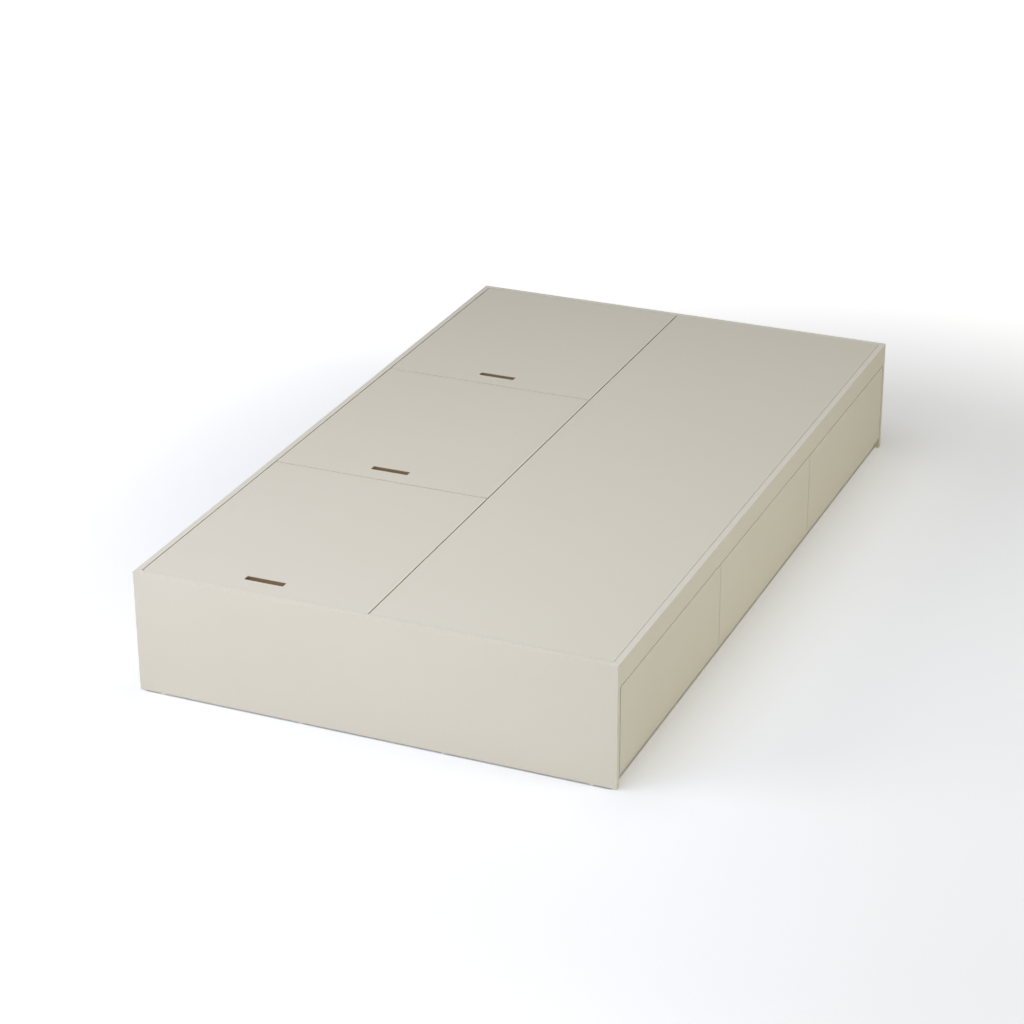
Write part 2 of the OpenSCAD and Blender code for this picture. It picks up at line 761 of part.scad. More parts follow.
module floor_cleats() {
    color(PINE) for (bar = floor_cleat_bars) bar_solid(bar);
}

module lid_bumpers() {
    color(RUBBER) for (k = [0:BAYS - 1], x = [side_face + ledge / 2, divider_x[0] - ledge / 2])
        for (y = [lid_y(k)[0] + bumper_inset, lid_y(k)[1] - bumper_inset])
            translate([x, y, ledge_top]) cylinder(d = bumper_d, h = bumper_t);
}

module hinge_frame_leaves() {
    color(STEEL) for (k = [0:BAYS - 1], side = [LEFT, RIGHT]) at_hinge(k, side) frame_leaf();
}

module hinge_pins() {
    color(STEEL) for (k = [0:BAYS - 1], side = [LEFT, RIGHT]) at_hinge(k, side) hinge_pin();
}

module floor_glides() {
    end_xs = [for (f = [-1, -1 / 3, 1 / 3, 1]) f * (outer_x - glide_inset)];
    long_ys = [-glide_pitch, 0, glide_pitch];
    long_xs = [(-outer_x + side_face) / 2, divider_mid, rail_face - board_t / 2];
    cross = [
        for (k = [FOOT, MIDDLE]) each [
            [(side_face + divider_x[0]) / 2, seam_y(k + 1)],
            [(divider_x[1] + rail_face) / 2, drawer_partition_mid(k)]
        ]
    ];
    color(NYLON) {
        for (x = end_xs, dir = [-1, 1]) translate([x, dir * (outer_y - board_t / 2), 0]) glide();
        for (x = long_xs, y = long_ys) translate([x, y, 0]) glide();
        for (p = cross) translate([p[0], p[1], 0]) glide();
    }
}

module glide() {
    cylinder(d = glide_d, h = glide_t);
}

module cam_locks() {
    color(ZINC) for (j = all_cams) cam_lock(j);
}

module cam_bolts() {
    color(STEEL) for (j = all_cams) cam_bolt(j);
}

module dowels() {
    color(BEECH) for (j = all_dowels) dowel(j);
}

module frame_screws() {
    color(ZINC) {
        bar_screws(concat(lid_ledge_bars, deck_cleat_bars, floor_cleat_bars));
        deck_screw_places() driven_flat_screw(screw_d, ledge + screw_grip, screw_head_d);
        for (k = [0:BAYS - 1], side = [LEFT, RIGHT]) at_hinge(k, side) frame_leaf_screw_places()
            driven_flat_screw(small_screw_d, leaf_screw_length, small_head_d);
        for (b = [0:BAYS - 1], side = [LEFT, RIGHT]) outer_screw_places(b, side) pan_screw(runner_screw_length);
    }
}

module runner_outer_members() {
    color(STEEL) for (b = [0:BAYS - 1], side = [LEFT, RIGHT]) outer_member(b, side);
}

// ---------------------------------------------------------------- lids

module at_pull(k) {
    translate([lid_mid, pull_y(k), pull_z]) children();
}

module pull_screw_places() {
    for (sx = [-1, 1]) translate([sx * pull_screw_x, 0, pull_floor]) children();
}

pull_screw_length = pull_floor + pull_screw_grip;

module lid_board(k) {
    color(CREAM) difference() {
        board(lid_x, lid_y(k), [deck_under, bed_height]);
        at_pull(k) {
            round_plate(pull_length + 2 * seat, pull_width + 2 * seat, pull_corner + seat,
                pull_pocket_depth + over);
            pull_screw_places() flat_screw(small_screw_d, pull_screw_length, small_head_d, fit);
        }
        for (side = [LEFT, RIGHT]) at_hinge(k, side) lid_hinge_cut();
    }
}

module lid_pull(k) {
    color(BRONZE) at_pull(k) difference() {
        round_plate(pull_length, pull_width, pull_corner, pull_height);
        translate([0, 0, pull_floor])
            round_plate(pull_length - 2 * pull_wall, pull_width - 2 * pull_wall,
                max(pull_corner - pull_wall, 0.3), pull_height);
        pull_screw_places() flat_screw(small_screw_d, pull_screw_length, small_head_d, fit);
    }
}

module lid_leaves(k) {
    color(STEEL) for (side = [LEFT, RIGHT]) at_hinge(k, side) lid_leaf();
}

module lid_screws(k) {
    color(ZINC) {
        at_pull(k) pull_screw_places() driven_flat_screw(small_screw_d, pull_screw_length, small_head_d);
        for (side = [LEFT, RIGHT]) at_hinge(k, side) lid_leaf_screw_places()
            driven_flat_screw(small_screw_d, leaf_screw_length, small_head_d);
    }
}

// ---------------------------------------------------------------- drawers

// Places of the screws through the inner front into the drawer front
module front_screw_places(b) {
    for (y = [box_y(b)[0] + front_screw_inset, box_y(b)[1] - front_screw_inset])
        for (z = [box_z[0] + front_screw_rise, box_z[1] - front_screw_rise])
            translate([rail_face - box_t, y, z]) pointing(0) children();
}

front_screw_length = box_t + screw_grip;

// Places of the screws through the box sides into its ends
module corner_screw_places(b) {
    for (x = [box_x[0] + box_t / 2, box_x[1] - box_t / 2])
        for (z = [box_z[0] + corner_screw_rise, box_z[1] - corner_screw_rise]) {
            translate([x, box_y(b)[0], z]) pointing(90) children();
            translate([x, box_y(b)[1], z]) pointing(-90) children();
        }
}

corner_screw_length = box_t + corner_screw_grip;

module drawer_front(b) {
    color(CREAM) difference() {
        board([rail_face, outer_x], front_y(b), front_z);
        front_screw_places(b) flat_screw(screw_d, front_screw_length, screw_head_d, fit);
    }
}

// The bottom board, widened by play when it is the groove for it
module drawer_bottom_form(b, play) {
    inset = box_t - groove_depth + seat - play;
    board([box_x[0] + inset, box_x[1] - inset], [box_y(b)[0] + inset, box_y(b)[1] - inset],
        [bottom_z[0] - play / 2, bottom_z[1] + play / 2]);
}

module drawer_sides(b) {
    y = box_y(b);
    color(INNER) difference() {
        for (span = [[y[0], y[0] + box_t], [y[1] - box_t, y[1]]]) board(box_x, span, box_z);
        drawer_bottom_form(b, seat);
        corner_screw_places(b) flat_screw(screw_d, corner_screw_length, screw_head_d, fit);
        for (side = [LEFT, RIGHT]) inner_screw_places(b, side) runner_screw_hole();
    }
}

module drawer_ends(b) {
    y = [box_y(b)[0] + box_t, box_y(b)[1] - box_t];
    color(INNER) difference() {
        for (span = [[box_x[0], box_x[0] + box_t], [box_x[1] - box_t, box_x[1]]]) board(span, y, box_z);
        drawer_bottom_form(b, seat);
        corner_screw_places(b) flat_screw(screw_d, corner_screw_length, screw_head_d, fit);
        front_screw_places(b) flat_screw(screw_d, front_screw_length, screw_head_d, fit);
    }
}

module drawer_bottom(b) {
    color(PLY) drawer_bottom_form(b, 0);
}

module inner_members(b) {
    color(STEEL) for (side = [LEFT, RIGHT]) inner_member(b, side);
}

module drawer_screws(b) {
    color(ZINC) {
        front_screw_places(b) driven_flat_screw(screw_d, front_screw_length, screw_head_d);
        corner_screw_places(b) driven_flat_screw(screw_d, corner_screw_length, screw_head_d);
        for (side = [LEFT, RIGHT]) inner_screw_places(b, side) pan_screw(runner_screw_length);
    }
}

module intermediates(b) {
    color(STEEL) for (side = [LEFT, RIGHT]) intermediate_member(b, side);
}

// ---------------------------------------------------------------- assembly

end_panel(-1);  // foot_panel
end_panel(1);  // head_panel
left_side_panel();
centre_divider();
top_side_rail();
plinth_rail();
fixed_deck_panel();
drawer_partition(FOOT);  // drawer_partition_foot
drawer_partition(MIDDLE);  // drawer_partition_head
storage_partition(FOOT);  // storage_partition_foot
storage_partition(MIDDLE);  // storage_partition_head
storage_floor(FOOT);  // storage_floor_foot
storage_floor(MIDDLE);  // storage_floor_middle
storage_floor(HEAD);  // storage_floor_head
lid_ledges();
deck_cleats();
floor_cleats();
lid_bumpers();
hinge_frame_leaves();
hinge_pins();
floor_glides();
cam_locks();
cam_bolts();
dowels();
frame_screws();
runner_outer_members();
lid_board(FOOT);  // lid_foot_board
lid_pull(FOOT);  // lid_foot_pull
lid_leaves(FOOT);  // lid_foot_leaves
lid_screws(FOOT);  // lid_foot_screws
lid_board(MIDDLE);  // lid_middle_board
lid_pull(MIDDLE);  // lid_middle_pull
lid_leaves(MIDDLE);  // lid_middle_leaves
lid_screws(MIDDLE);  // lid_middle_screws
lid_board(HEAD);  // lid_head_board
lid_pull(HEAD);  // lid_head_pull
lid_leaves(HEAD);  // lid_head_leaves
lid_screws(HEAD);  // lid_head_screws
drawer_front(FOOT);  // drawer_foot_front
drawer_sides(FOOT);  // drawer_foot_sides
drawer_ends(FOOT);  // drawer_foot_ends
drawer_bottom(FOOT);  // drawer_foot_bottom
inner_members(FOOT);  // drawer_foot_inner_members
drawer_screws(FOOT);  // drawer_foot_screws
intermediates(FOOT);  // runner_foot_intermediates
drawer_front(MIDDLE);  // drawer_middle_front
drawer_sides(MIDDLE);  // drawer_middle_sides
drawer_ends(MIDDLE);  // drawer_middle_ends
drawer_bottom(MIDDLE);  // drawer_middle_bottom
inner_members(MIDDLE);  // drawer_middle_inner_members
drawer_screws(MIDDLE);  // drawer_middle_screws
intermediates(MIDDLE);  // runner_middle_intermediates
drawer_front(HEAD);  // drawer_head_front
drawer_sides(HEAD);  // drawer_head_sides
drawer_ends(HEAD);  // drawer_head_ends
drawer_bottom(HEAD);  // drawer_head_bottom
inner_members(HEAD);  // drawer_head_inner_members
drawer_screws(HEAD);  // drawer_head_screws
intermediates(HEAD);  // runner_head_intermediates
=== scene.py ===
"""Tatami platform bed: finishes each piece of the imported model, adds the small fittings that its
construction leaves out, and sets up a plain studio with a camera at the photograph's angle."""

import logging
import math
from dataclasses import dataclass
from enum import Enum
from typing import Any, Mapping, Sequence

import bpy
from mathutils import Matrix, Vector


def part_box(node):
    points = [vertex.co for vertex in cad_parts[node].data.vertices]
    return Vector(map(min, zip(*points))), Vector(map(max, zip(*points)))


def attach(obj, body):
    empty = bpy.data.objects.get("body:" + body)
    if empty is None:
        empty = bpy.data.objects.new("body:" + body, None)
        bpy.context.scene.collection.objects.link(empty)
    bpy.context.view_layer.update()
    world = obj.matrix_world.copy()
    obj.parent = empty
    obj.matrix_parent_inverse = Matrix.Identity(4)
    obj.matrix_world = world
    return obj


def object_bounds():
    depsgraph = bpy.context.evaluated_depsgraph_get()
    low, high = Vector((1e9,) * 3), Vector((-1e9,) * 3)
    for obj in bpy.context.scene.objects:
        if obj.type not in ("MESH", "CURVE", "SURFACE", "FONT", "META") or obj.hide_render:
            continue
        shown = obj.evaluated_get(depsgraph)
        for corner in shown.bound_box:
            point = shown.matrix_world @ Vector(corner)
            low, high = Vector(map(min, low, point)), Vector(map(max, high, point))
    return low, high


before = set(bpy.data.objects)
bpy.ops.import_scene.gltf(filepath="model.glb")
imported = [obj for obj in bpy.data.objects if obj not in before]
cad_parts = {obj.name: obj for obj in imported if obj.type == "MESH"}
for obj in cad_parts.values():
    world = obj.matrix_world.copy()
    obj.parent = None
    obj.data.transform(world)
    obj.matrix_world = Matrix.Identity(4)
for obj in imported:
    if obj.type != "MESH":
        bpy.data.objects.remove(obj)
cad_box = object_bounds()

LOG = logging.getLogger("tatami_bed")
MM = 0.001

Tree = bpy.types.NodeTree
Node = bpy.types.Node
Socket = bpy.types.NodeSocket
Place = tuple[Vector, Vector]

# A Mix node has sockets for each kind of value: these are the numbers of the ones for colours.
MIX_FACTOR, MIX_FIRST, MIX_SECOND, MIX_RESULT = 0, 6, 7, 2
# Scales at which a wave texture's light and dark bands, or rings, are each about a metre wide.
BAND_SCALE, RING_SCALE = 0.157, 0.16
# Most of a noise texture lies between these values.
NOISE_LOW, NOISE_HIGH = 0.3, 0.7


# ---------------------------------------------------------------- names and options


class Bay(Enum):
    """The three lids and the three drawers, from the foot end to the head end."""

    FOOT = "foot"
    MIDDLE = "middle"
    HEAD = "head"


class Axis(Enum):
    """An axis of the bed, as its place in a vector."""

    ACROSS = 0
    ALONG = 1
    UP = 2

    def letter(self) -> str:
        """Blender's name for the axis."""
        return "XYZ"[self.value]

    def drawn_out(self, share: float) -> list[float]:
        """Works out the scale that draws a pattern out along this axis.

        Args:
            share: The pattern's scale along the axis, where it is 1 across it.

        Returns:
            The scale along each of the three axes.
        """
        scale = [1.0, 1.0, 1.0]
        scale[self.value] = share
        return scale


# ---------------------------------------------------------------- shared tools


def linear(hex_code: str) -> tuple[float, float, float, float]:
    """Turns an sRGB hex colour into the linear colour that a shader takes.

    Args:
        hex_code: Six hex digits after a hash sign.

    Returns:
        Linear red, green, blue and an alpha of 1.
    """
    parts = [int(hex_code[i : i + 2], 16) / 255 for i in (1, 3, 5)]
    red, green, blue = [c / 12.92 if c <= 0.04045 else ((c + 0.055) / 1.055) ** 2.4 for c in parts]
    return red, green, blue, 1.0


def add_node(
    tree: Tree,
    kind: str,
    settings: Mapping[str, Any] | None = None,
    inputs: Mapping[str | int, Any] | None = None,
) -> Node:
    """Adds one node to a tree, with its settings, values and links.

    Args:
        tree: The shader or geometry tree.
        kind: The node's type name.
        settings: Values of the node's own properties.
        inputs: For an input's name or number, the socket that feeds it or its value.

    Returns:
        The new node.
    """
    node = tree.nodes.new(kind)
    for name, value in (settings or {}).items():
        setattr(node, name, value)
    for key, value in (inputs or {}).items():
        if isinstance(value, Socket):
            tree.links.new(value, node.inputs[key])
        else:
            node.inputs[key].default_value = value
    return node


def rays_of(tree: Tree, *kinds: str) -> Socket:
    """Tells rays of the given kinds from all others.

    Args:
        tree: The tree of a material or of the world.
        kinds: The kinds of ray, by the names of the Light Path node's outputs.

    Returns:
        A socket that is 1 for a ray of one of the kinds and 0 for the rest.
    """
    rays = add_node(tree, "ShaderNodeLightPath")
    chosen = rays.outputs[kinds[0]]
    for kind in kinds[1:]:
        either = add_node(tree, "ShaderNodeMath", {"operation": "MAXIMUM"}, {
            0: chosen, 1: rays.outputs[kind]})
        chosen = either.outputs["Value"]
    return chosen


def node_object(name: str) -> bpy.types.Object:
    """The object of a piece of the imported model."""
    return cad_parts[name]


def size_of(thing: bpy.types.Object) -> str:
    """The box of an object's mesh in millimetres, for the log."""
    return " x ".join(f"{v / MM:.0f}" for v in thing.dimensions)


# ---------------------------------------------------------------- finishes


@dataclass(frozen=True)
class Finish:
    """What every finish has: a name, its two nearest tones, and how it meets the light.

    The two tones lie close together. A slow cloud of the given size blends them, and moves the
    roughness up and down with them. A bump of the given strength and depth gives the surface its
    texture.
    """

    name: str
    light: str
    dark: str
    roughness: float
    cloud_mm: float
    metallic: float = 0.0
    sway: float = 0.06
    bump: float = 0.2
    bump_mm: float = 0.05

    def surface(self) -> bpy.types.Material:
        """The finish's material, made the first time that it is asked for."""
        known = bpy.data.materials.get(self.name)
        return known or self.build()

    def build(self) -> bpy.types.Material:
        """Makes the material.

        Returns:
            The new material, with its shader in place.
        """
        material = bpy.data.materials.new(self.name)
        material.use_nodes = True
        tree = material.node_tree
        tree.nodes.clear()
        place = add_node(tree, "ShaderNodeTexCoord")
        colour, rough, height = self.pattern(tree, place)
        relief = add_node(tree, "ShaderNodeBump", inputs={
            "Strength": self.bump, "Distance": self.bump_mm * MM, "Height": height})
        shader = add_node(tree, "ShaderNodeBsdfPrincipled", inputs={
            "Base Color": colour, "Roughness": rough, "Normal": relief.outputs["Normal"],
            "Metallic": self.metallic, **self.even_values()})
        add_node(tree, "ShaderNodeOutputMaterial", inputs={"Surface": shader.outputs["BSDF"]})
        return material

    def even_values(self) -> dict[str, float]:
        """More of the shader's values that are the same all over the surface."""
        return {}

    def cloud(self, tree: Tree, place: Node) -> tuple[Socket, Socket]:
        """Blends the two tones and the roughness by one slow noise.

        Args:
            tree: The material's tree.
            place: Its texture coordinate node.

        Returns:
            The sockets of the colour and the roughness.
        """
        noise = add_node(tree, "ShaderNodeTexNoise", inputs={
            "Vector": place.outputs["Object"], "Scale": 1 / (self.cloud_mm * MM), "Detail": 4.0,
            "Roughness": 0.55})
        tone = add_node(tree, "ShaderNodeMix", {"data_type": "RGBA"}, {
            MIX_FACTOR: noise.outputs["Fac"], MIX_FIRST: linear(self.dark),
            MIX_SECOND: linear(self.light)})
        rough = add_node(tree, "ShaderNodeMapRange", inputs={
            "Value": noise.outputs["Fac"], "To Min": self.roughness - self.sway,
            "To Max": self.roughness + self.sway})
        return tone.outputs[MIX_RESULT], rough.outputs["Result"]

    def edges(self, tree: Tree, place: Node, face: Axis, turn: float) -> Socket:
        """Tells a board's edges from its faces by the way that the surface looks.

        Args:
            tree: The material's tree.
            place: Its texture coordinate node.
            face: The axis across the board's two faces.
            turn: The part of the normal along that axis under which the surface is an edge.

        Returns:
            A socket that is 1 on the edges and 0 on the faces.
        """
        axes = add_node(tree, "ShaderNodeSeparateXYZ", inputs={"Vector": place.outputs["Normal"]})
        part = add_node(tree, "ShaderNodeMath", {"operation": "ABSOLUTE"}, {
            0: axes.outputs[face.letter()]})
        on_edge = add_node(tree, "ShaderNodeMath", {"operation": "LESS_THAN"}, {
            0: part.outputs["Value"], 1: turn})
        return on_edge.outputs["Value"]

    def pattern(self, tree: Tree, place: Node) -> tuple[Socket, Socket, Socket]:
        """Draws the finish.

        Args:
            tree: The material's tree.
            place: Its texture coordinate node.

        Returns:
            The sockets of the colour, the roughness and the bump's height.
        """
        raise NotImplementedError


@dataclass(frozen=True)
class MelamineBoard(Finish):
    """Melamine-faced board: a pressed paper face with a fine pearl grain and a dull sheen, and an
    extruded plastic band on its edges, a shade off the face and a little glossier."""

    band: str = "#DDD7C5"
    face: Axis = Axis.UP
    pearl_mm: float = 1.4
    fleck: tuple[float, float] = (1.012, 0.985)
    band_turn: float = 0.9
    band_gloss: float = 0.2
    bump: float = 0.10
    bump_mm: float = 0.04

    def pattern(self, tree: Tree, place: Node) -> tuple[Socket, Socket, Socket]:
        """Draws the face and the edge band.

        Args:
            tree: The material's tree.
            place: Its texture coordinate node.

        Returns:
            The sockets of the colour, the roughness and the bump's height.
        """
        colour, rough = self.cloud(tree, place)
        on_edge = self.edges(tree, place, self.face, self.band_turn)
        banded = add_node(tree, "ShaderNodeMix", {"data_type": "RGBA"}, {
            MIX_FACTOR: on_edge, MIX_FIRST: colour, MIX_SECOND: linear(self.band)})
        # The real pearl grain is about 0.4 mm: it is drawn coarser, so that it shows.
        pearl = add_node(tree, "ShaderNodeTexVoronoi", {"feature": "SMOOTH_F1"}, {
            "Vector": place.outputs["Object"], "Scale": 1 / (self.pearl_mm * MM)})
        fleck = add_node(tree, "ShaderNodeMapRange", inputs={
            "Value": pearl.outputs["Distance"], "From Min": 0.1, "From Max": 0.9,
            "To Min": self.fleck[0], "To Max": self.fleck[1]})
        toned = add_node(tree, "ShaderNodeVectorMath", {"operation": "SCALE"}, {
            0: banded.outputs[MIX_RESULT], "Scale": fleck.outputs["Result"]})
        glossier = add_node(tree, "ShaderNodeMath", {"operation": "MULTIPLY_ADD"}, {
            0: on_edge, 1: -self.band_gloss, 2: rough})
        return toned.outputs["Vector"], glossier.outputs["Value"], pearl.outputs["Distance"]


@dataclass(frozen=True)
class SolidWood(Finish):
    """Planed or turned solid wood: growth rings cut along the piece, with fine pores."""

    latewood: str = "#B98F58"
    grain: Axis = Axis.ALONG
    ring_mm: float = 5.0
    ring_depth: float = 0.5
    wander: float = 5.0
    stretch: float = 0.07
    heart: tuple[float, float, float] = (0.013, 0.0, 0.021)
    pore_scale: float = 1400.0
    pore_tones: tuple[float, float] = (0.94, 1.04)
    bump: float = 0.25
    bump_mm: float = 0.08

    def pattern(self, tree: Tree, place: Node) -> tuple[Socket, Socket, Socket]:
        """Draws the rings and the pores.

        Args:
            tree: The material's tree.
            place: Its texture coordinate node.

        Returns:
            The sockets of the colour, the roughness and the bump's height.
        """
        colour, rough = self.cloud(tree, place)
        drawn = add_node(tree, "ShaderNodeMapping", inputs={
            "Vector": place.outputs["Object"], "Scale": self.grain.drawn_out(self.stretch),
            "Location": self.heart})
        rings = add_node(tree, "ShaderNodeTexWave", {
            "wave_type": "RINGS", "rings_direction": self.grain.letter()}, {
            "Vector": drawn.outputs["Vector"], "Scale": RING_SCALE / (self.ring_mm * MM),
            "Distortion": self.wander, "Detail": 3.0, "Detail Scale": 1.4})
        depth = add_node(tree, "ShaderNodeMath", {"operation": "MULTIPLY"}, {
            0: rings.outputs["Fac"], 1: self.ring_depth})
        ringed = add_node(tree, "ShaderNodeMix", {"data_type": "RGBA"}, {
            MIX_FACTOR: depth.outputs["Value"], MIX_FIRST: colour,
            MIX_SECOND: linear(self.latewood)})
        pores = add_node(tree, "ShaderNodeTexNoise", inputs={
            "Vector": drawn.outputs["Vector"], "Scale": self.pore_scale, "Detail": 2.0})
        shade = add_node(tree, "ShaderNodeMapRange", inputs={
            "Value": pores.outputs["Fac"], "From Min": NOISE_LOW, "From Max": NOISE_HIGH,
            "To Min": self.pore_tones[0], "To Max": self.pore_tones[1]})
        toned = add_node(tree, "ShaderNodeVectorMath", {"operation": "SCALE"}, {
            0: ringed.outputs[MIX_RESULT], "Scale": shade.outputs["Result"]})
        return toned.outputs["Vector"], rough, pores.outputs["Fac"]


@dataclass(frozen=True)
class Plywood(Finish):
    """Sanded plywood: a broad, pale veneer grain on the faces and thin crossed plies, dark and
    light in turn, on the edges."""

    vein: str = "#C9A877"
    glue: str = "#A98558"
    grain: Axis = Axis.ALONG
    ply_mm: float = 1.5
    edge_turn: float = 0.6
    vein_scale: float = 7.0
    vein_depth: float = 0.45
    wander: float = 9.0
    stretch: float = 0.09
    log_place: tuple[float, float, float] = (0.07, 0.03, 0.0)
    pore_scale: float = 1100.0
    bump_mm: float = 0.06

    def pattern(self, tree: Tree, place: Node) -> tuple[Socket, Socket, Socket]:
        """Draws the veneer and the plies.

        Args:
            tree: The material's tree.
            place: Its texture coordinate node.

        Returns:
            The sockets of the colour, the roughness and the bump's height.
        """
        colour, rough = self.cloud(tree, place)
        drawn = add_node(tree, "ShaderNodeMapping", inputs={
            "Vector": place.outputs["Object"], "Scale": self.grain.drawn_out(self.stretch),
            "Location": self.log_place})
        veins = add_node(tree, "ShaderNodeTexWave", {"bands_direction": "X"}, {
            "Vector": drawn.outputs["Vector"], "Scale": self.vein_scale,
            "Distortion": self.wander, "Detail": 3.0, "Detail Scale": 1.2})
        faint = add_node(tree, "ShaderNodeMath", {"operation": "MULTIPLY"}, {
            0: veins.outputs["Fac"], 1: self.vein_depth})
        veneer = add_node(tree, "ShaderNodeMix", {"data_type": "RGBA"}, {
            MIX_FACTOR: faint.outputs["Value"], MIX_FIRST: colour,
            MIX_SECOND: linear(self.vein)})
        plies = add_node(tree, "ShaderNodeTexWave", {"bands_direction": "Z"}, {
            "Vector": place.outputs["Object"], "Scale": BAND_SCALE / (self.ply_mm * MM)})
        crossed = add_node(tree, "ShaderNodeMix", {"data_type": "RGBA"}, {
            MIX_FACTOR: plies.outputs["Fac"], MIX_FIRST: linear(self.light),
            MIX_SECOND: linear(self.glue)})
        board = add_node(tree, "ShaderNodeMix", {"data_type": "RGBA"}, {
            MIX_FACTOR: self.edges(tree, place, Axis.UP, self.edge_turn),
            MIX_FIRST: veneer.outputs[MIX_RESULT], MIX_SECOND: crossed.outputs[MIX_RESULT]})
        pores = add_node(tree, "ShaderNodeTexNoise", inputs={
            "Vector": drawn.outputs["Vector"], "Scale": self.pore_scale, "Detail": 2.0})
        return board.outputs[MIX_RESULT], rough, pores.outputs["Fac"]


@dataclass(frozen=True)
class DrawnMetal(Finish):
    """Bare or plated metal with fine marks along the way it was rolled, turned or drawn."""

    marks: Axis = Axis.ACROSS
    mark_mm: float = 0.7
    stretch: float = 0.03
    wear: tuple[float, float] = (-0.05, 0.07)
    metallic: float = 1.0
    bump: float = 0.12
    bump_mm: float = 0.02

    def pattern(self, tree: Tree, place: Node) -> tuple[Socket, Socket, Socket]:
        """Draws the marks.

        Args:
            tree: The material's tree.
            place: Its texture coordinate node.

        Returns:
            The sockets of the colour, the roughness and the bump's height.
        """
        colour, rough = self.cloud(tree, place)
        drawn = add_node(tree, "ShaderNodeMapping", inputs={
            "Vector": place.outputs["Object"], "Scale": self.marks.drawn_out(self.stretch)})
        lines = add_node(tree, "ShaderNodeTexNoise", inputs={
            "Vector": drawn.outputs["Vector"], "Scale": 1 / (self.mark_mm * MM), "Detail": 3.0})
        shift = add_node(tree, "ShaderNodeMapRange", inputs={
            "Value": lines.outputs["Fac"], "From Min": NOISE_LOW, "From Max": NOISE_HIGH,
            "To Min": self.wear[0], "To Max": self.wear[1]})
        worn = add_node(tree, "ShaderNodeMath", {"operation": "ADD"}, {
            0: rough, 1: shift.outputs["Result"]})
        return colour, worn.outputs["Value"], lines.outputs["Fac"]


@dataclass(frozen=True)
class Lacquer(Finish):
    """Lacquer on a die-cast tray: a soft metallic flake, with a painted glint on each flake, under
    a satin clear coat.
    """

    flake_mm: float = 0.5
    glint: tuple[float, float] = (1.15, 0.85)
    coat: float = 0.25
    coat_roughness: float = 0.3
    bump: float = 0.1
    bump_mm: float = 0.02

    def even_values(self) -> dict[str, float]:
        """The clear coat."""
        return {"Coat Weight": self.coat, "Coat Roughness": self.coat_roughness}

    def pattern(self, tree: Tree, place: Node) -> tuple[Socket, Socket, Socket]:
        """Draws the flake and its painted glints.

        Args:
            tree: The material's tree.
            place: Its texture coordinate node.

        Returns:
            The sockets of the colour, the roughness and the bump's height.
        """
        colour, rough = self.cloud(tree, place)
        flake = add_node(tree, "ShaderNodeTexVoronoi", inputs={
            "Vector": place.outputs["Object"], "Scale": 1 / (self.flake_mm * MM)})
        # Each flake is painted brighter at its middle and darker at its rim: a painted glint.
        glint = add_node(tree, "ShaderNodeMapRange", inputs={
            "Value": flake.outputs["Distance"], "To Min": self.glint[0],
            "To Max": self.glint[1]})
        toned = add_node(tree, "ShaderNodeVectorMath", {"operation": "SCALE"}, {
            0: colour, "Scale": glint.outputs["Result"]})
        return toned.outputs["Vector"], rough, flake.outputs["Distance"]


@dataclass(frozen=True)
class MouldedPlastic(Finish):
    """Moulded plastic or rubber: even colour, a spark-eroded grain and a dull sheen."""

    grain_mm: float = 0.8

    def pattern(self, tree: Tree, place: Node) -> tuple[Socket, Socket, Socket]:
        """Draws the moulded grain.

        Args:
            tree: The material's tree.
            place: Its texture coordinate node.

        Returns:
            The sockets of the colour, the roughness and the bump's height.
        """
        colour, rough = self.cloud(tree, place)
        grain = add_node(tree, "ShaderNodeTexNoise", inputs={
            "Vector": place.outputs["Object"], "Scale": 1 / (self.grain_mm * MM), "Detail": 3.0})
        return colour, rough, grain.outputs["Fac"]


def outer_board(face: Axis) -> MelamineBoard:
    """The cream board of the outside, its laminate on the faces along the given axis."""
    # Matt cream melamine: warm and nearly white, and too dull to show reflections.
    return MelamineBoard(f"cream_melamine_board_{face.name.lower()}", "#DED8C6", "#DAD3C0",
        0.60, 420.0, face=face)


def inner_board(face: Axis) -> MelamineBoard:
    """The beige board of the inside, its laminate on the faces along the given axis."""
    # Matt beige melamine: a shade darker than the outside, with a little more sheen.
    return MelamineBoard(f"beige_melamine_board_{face.name.lower()}", "#DAD3BF", "#D4CCB7",
        0.5, 300.0, band="#D7CFBB", face=face)


# Birch plywood, sanded: pale honey with a broad, faint figure, and striped edges.
BIRCH_PLYWOOD = Plywood("birch_plywood", "#DFC69C", "#D6BA8C", 0.55, 180.0)
# Pine, planed: yellow with darker, wandering lines of latewood, and no more than a dull shine.
PLANED_PINE = SolidWood("planed_pine", "#E2C28E", "#D9B680", 0.55, 120.0)
# Beech, turned: an even reddish tan with rings too fine and weak to stand out.
TURNED_BEECH = SolidWood("turned_beech", "#D3AE80", "#C79F6F", 0.55, 40.0, latewood="#A97E50",
    ring_mm=2.0, ring_depth=0.35)
# Steel strip, cold-rolled and zinc-plated: bluish grey, with its reflections drawn out in streaks.
ROLLED_STEEL = DrawnMetal("zinc_plated_rolled_steel", "#C3C6C9", "#B4B8BD", 0.34, 60.0)
# Steel, turned and zinc-plated: grey and a little sharper than the strip.
TURNED_STEEL = DrawnMetal("zinc_plated_turned_steel", "#C6C8C8", "#B9BCBE", 0.3, 20.0)
# Screws, bright zinc-plated: the lightest metal here, with a small sharp glint on each head.
BRIGHT_SCREWS = DrawnMetal("bright_zinc_screws", "#D6D6D2", "#C8C9C6", 0.27, 8.0, mark_mm=0.3)
# Zinc, die-cast: plain grey, duller and coarser than the plated steel.
CAST_ZINC = DrawnMetal("die_cast_zinc", "#C4C5C4", "#B3B5B6", 0.42, 12.0, mark_mm=1.2)
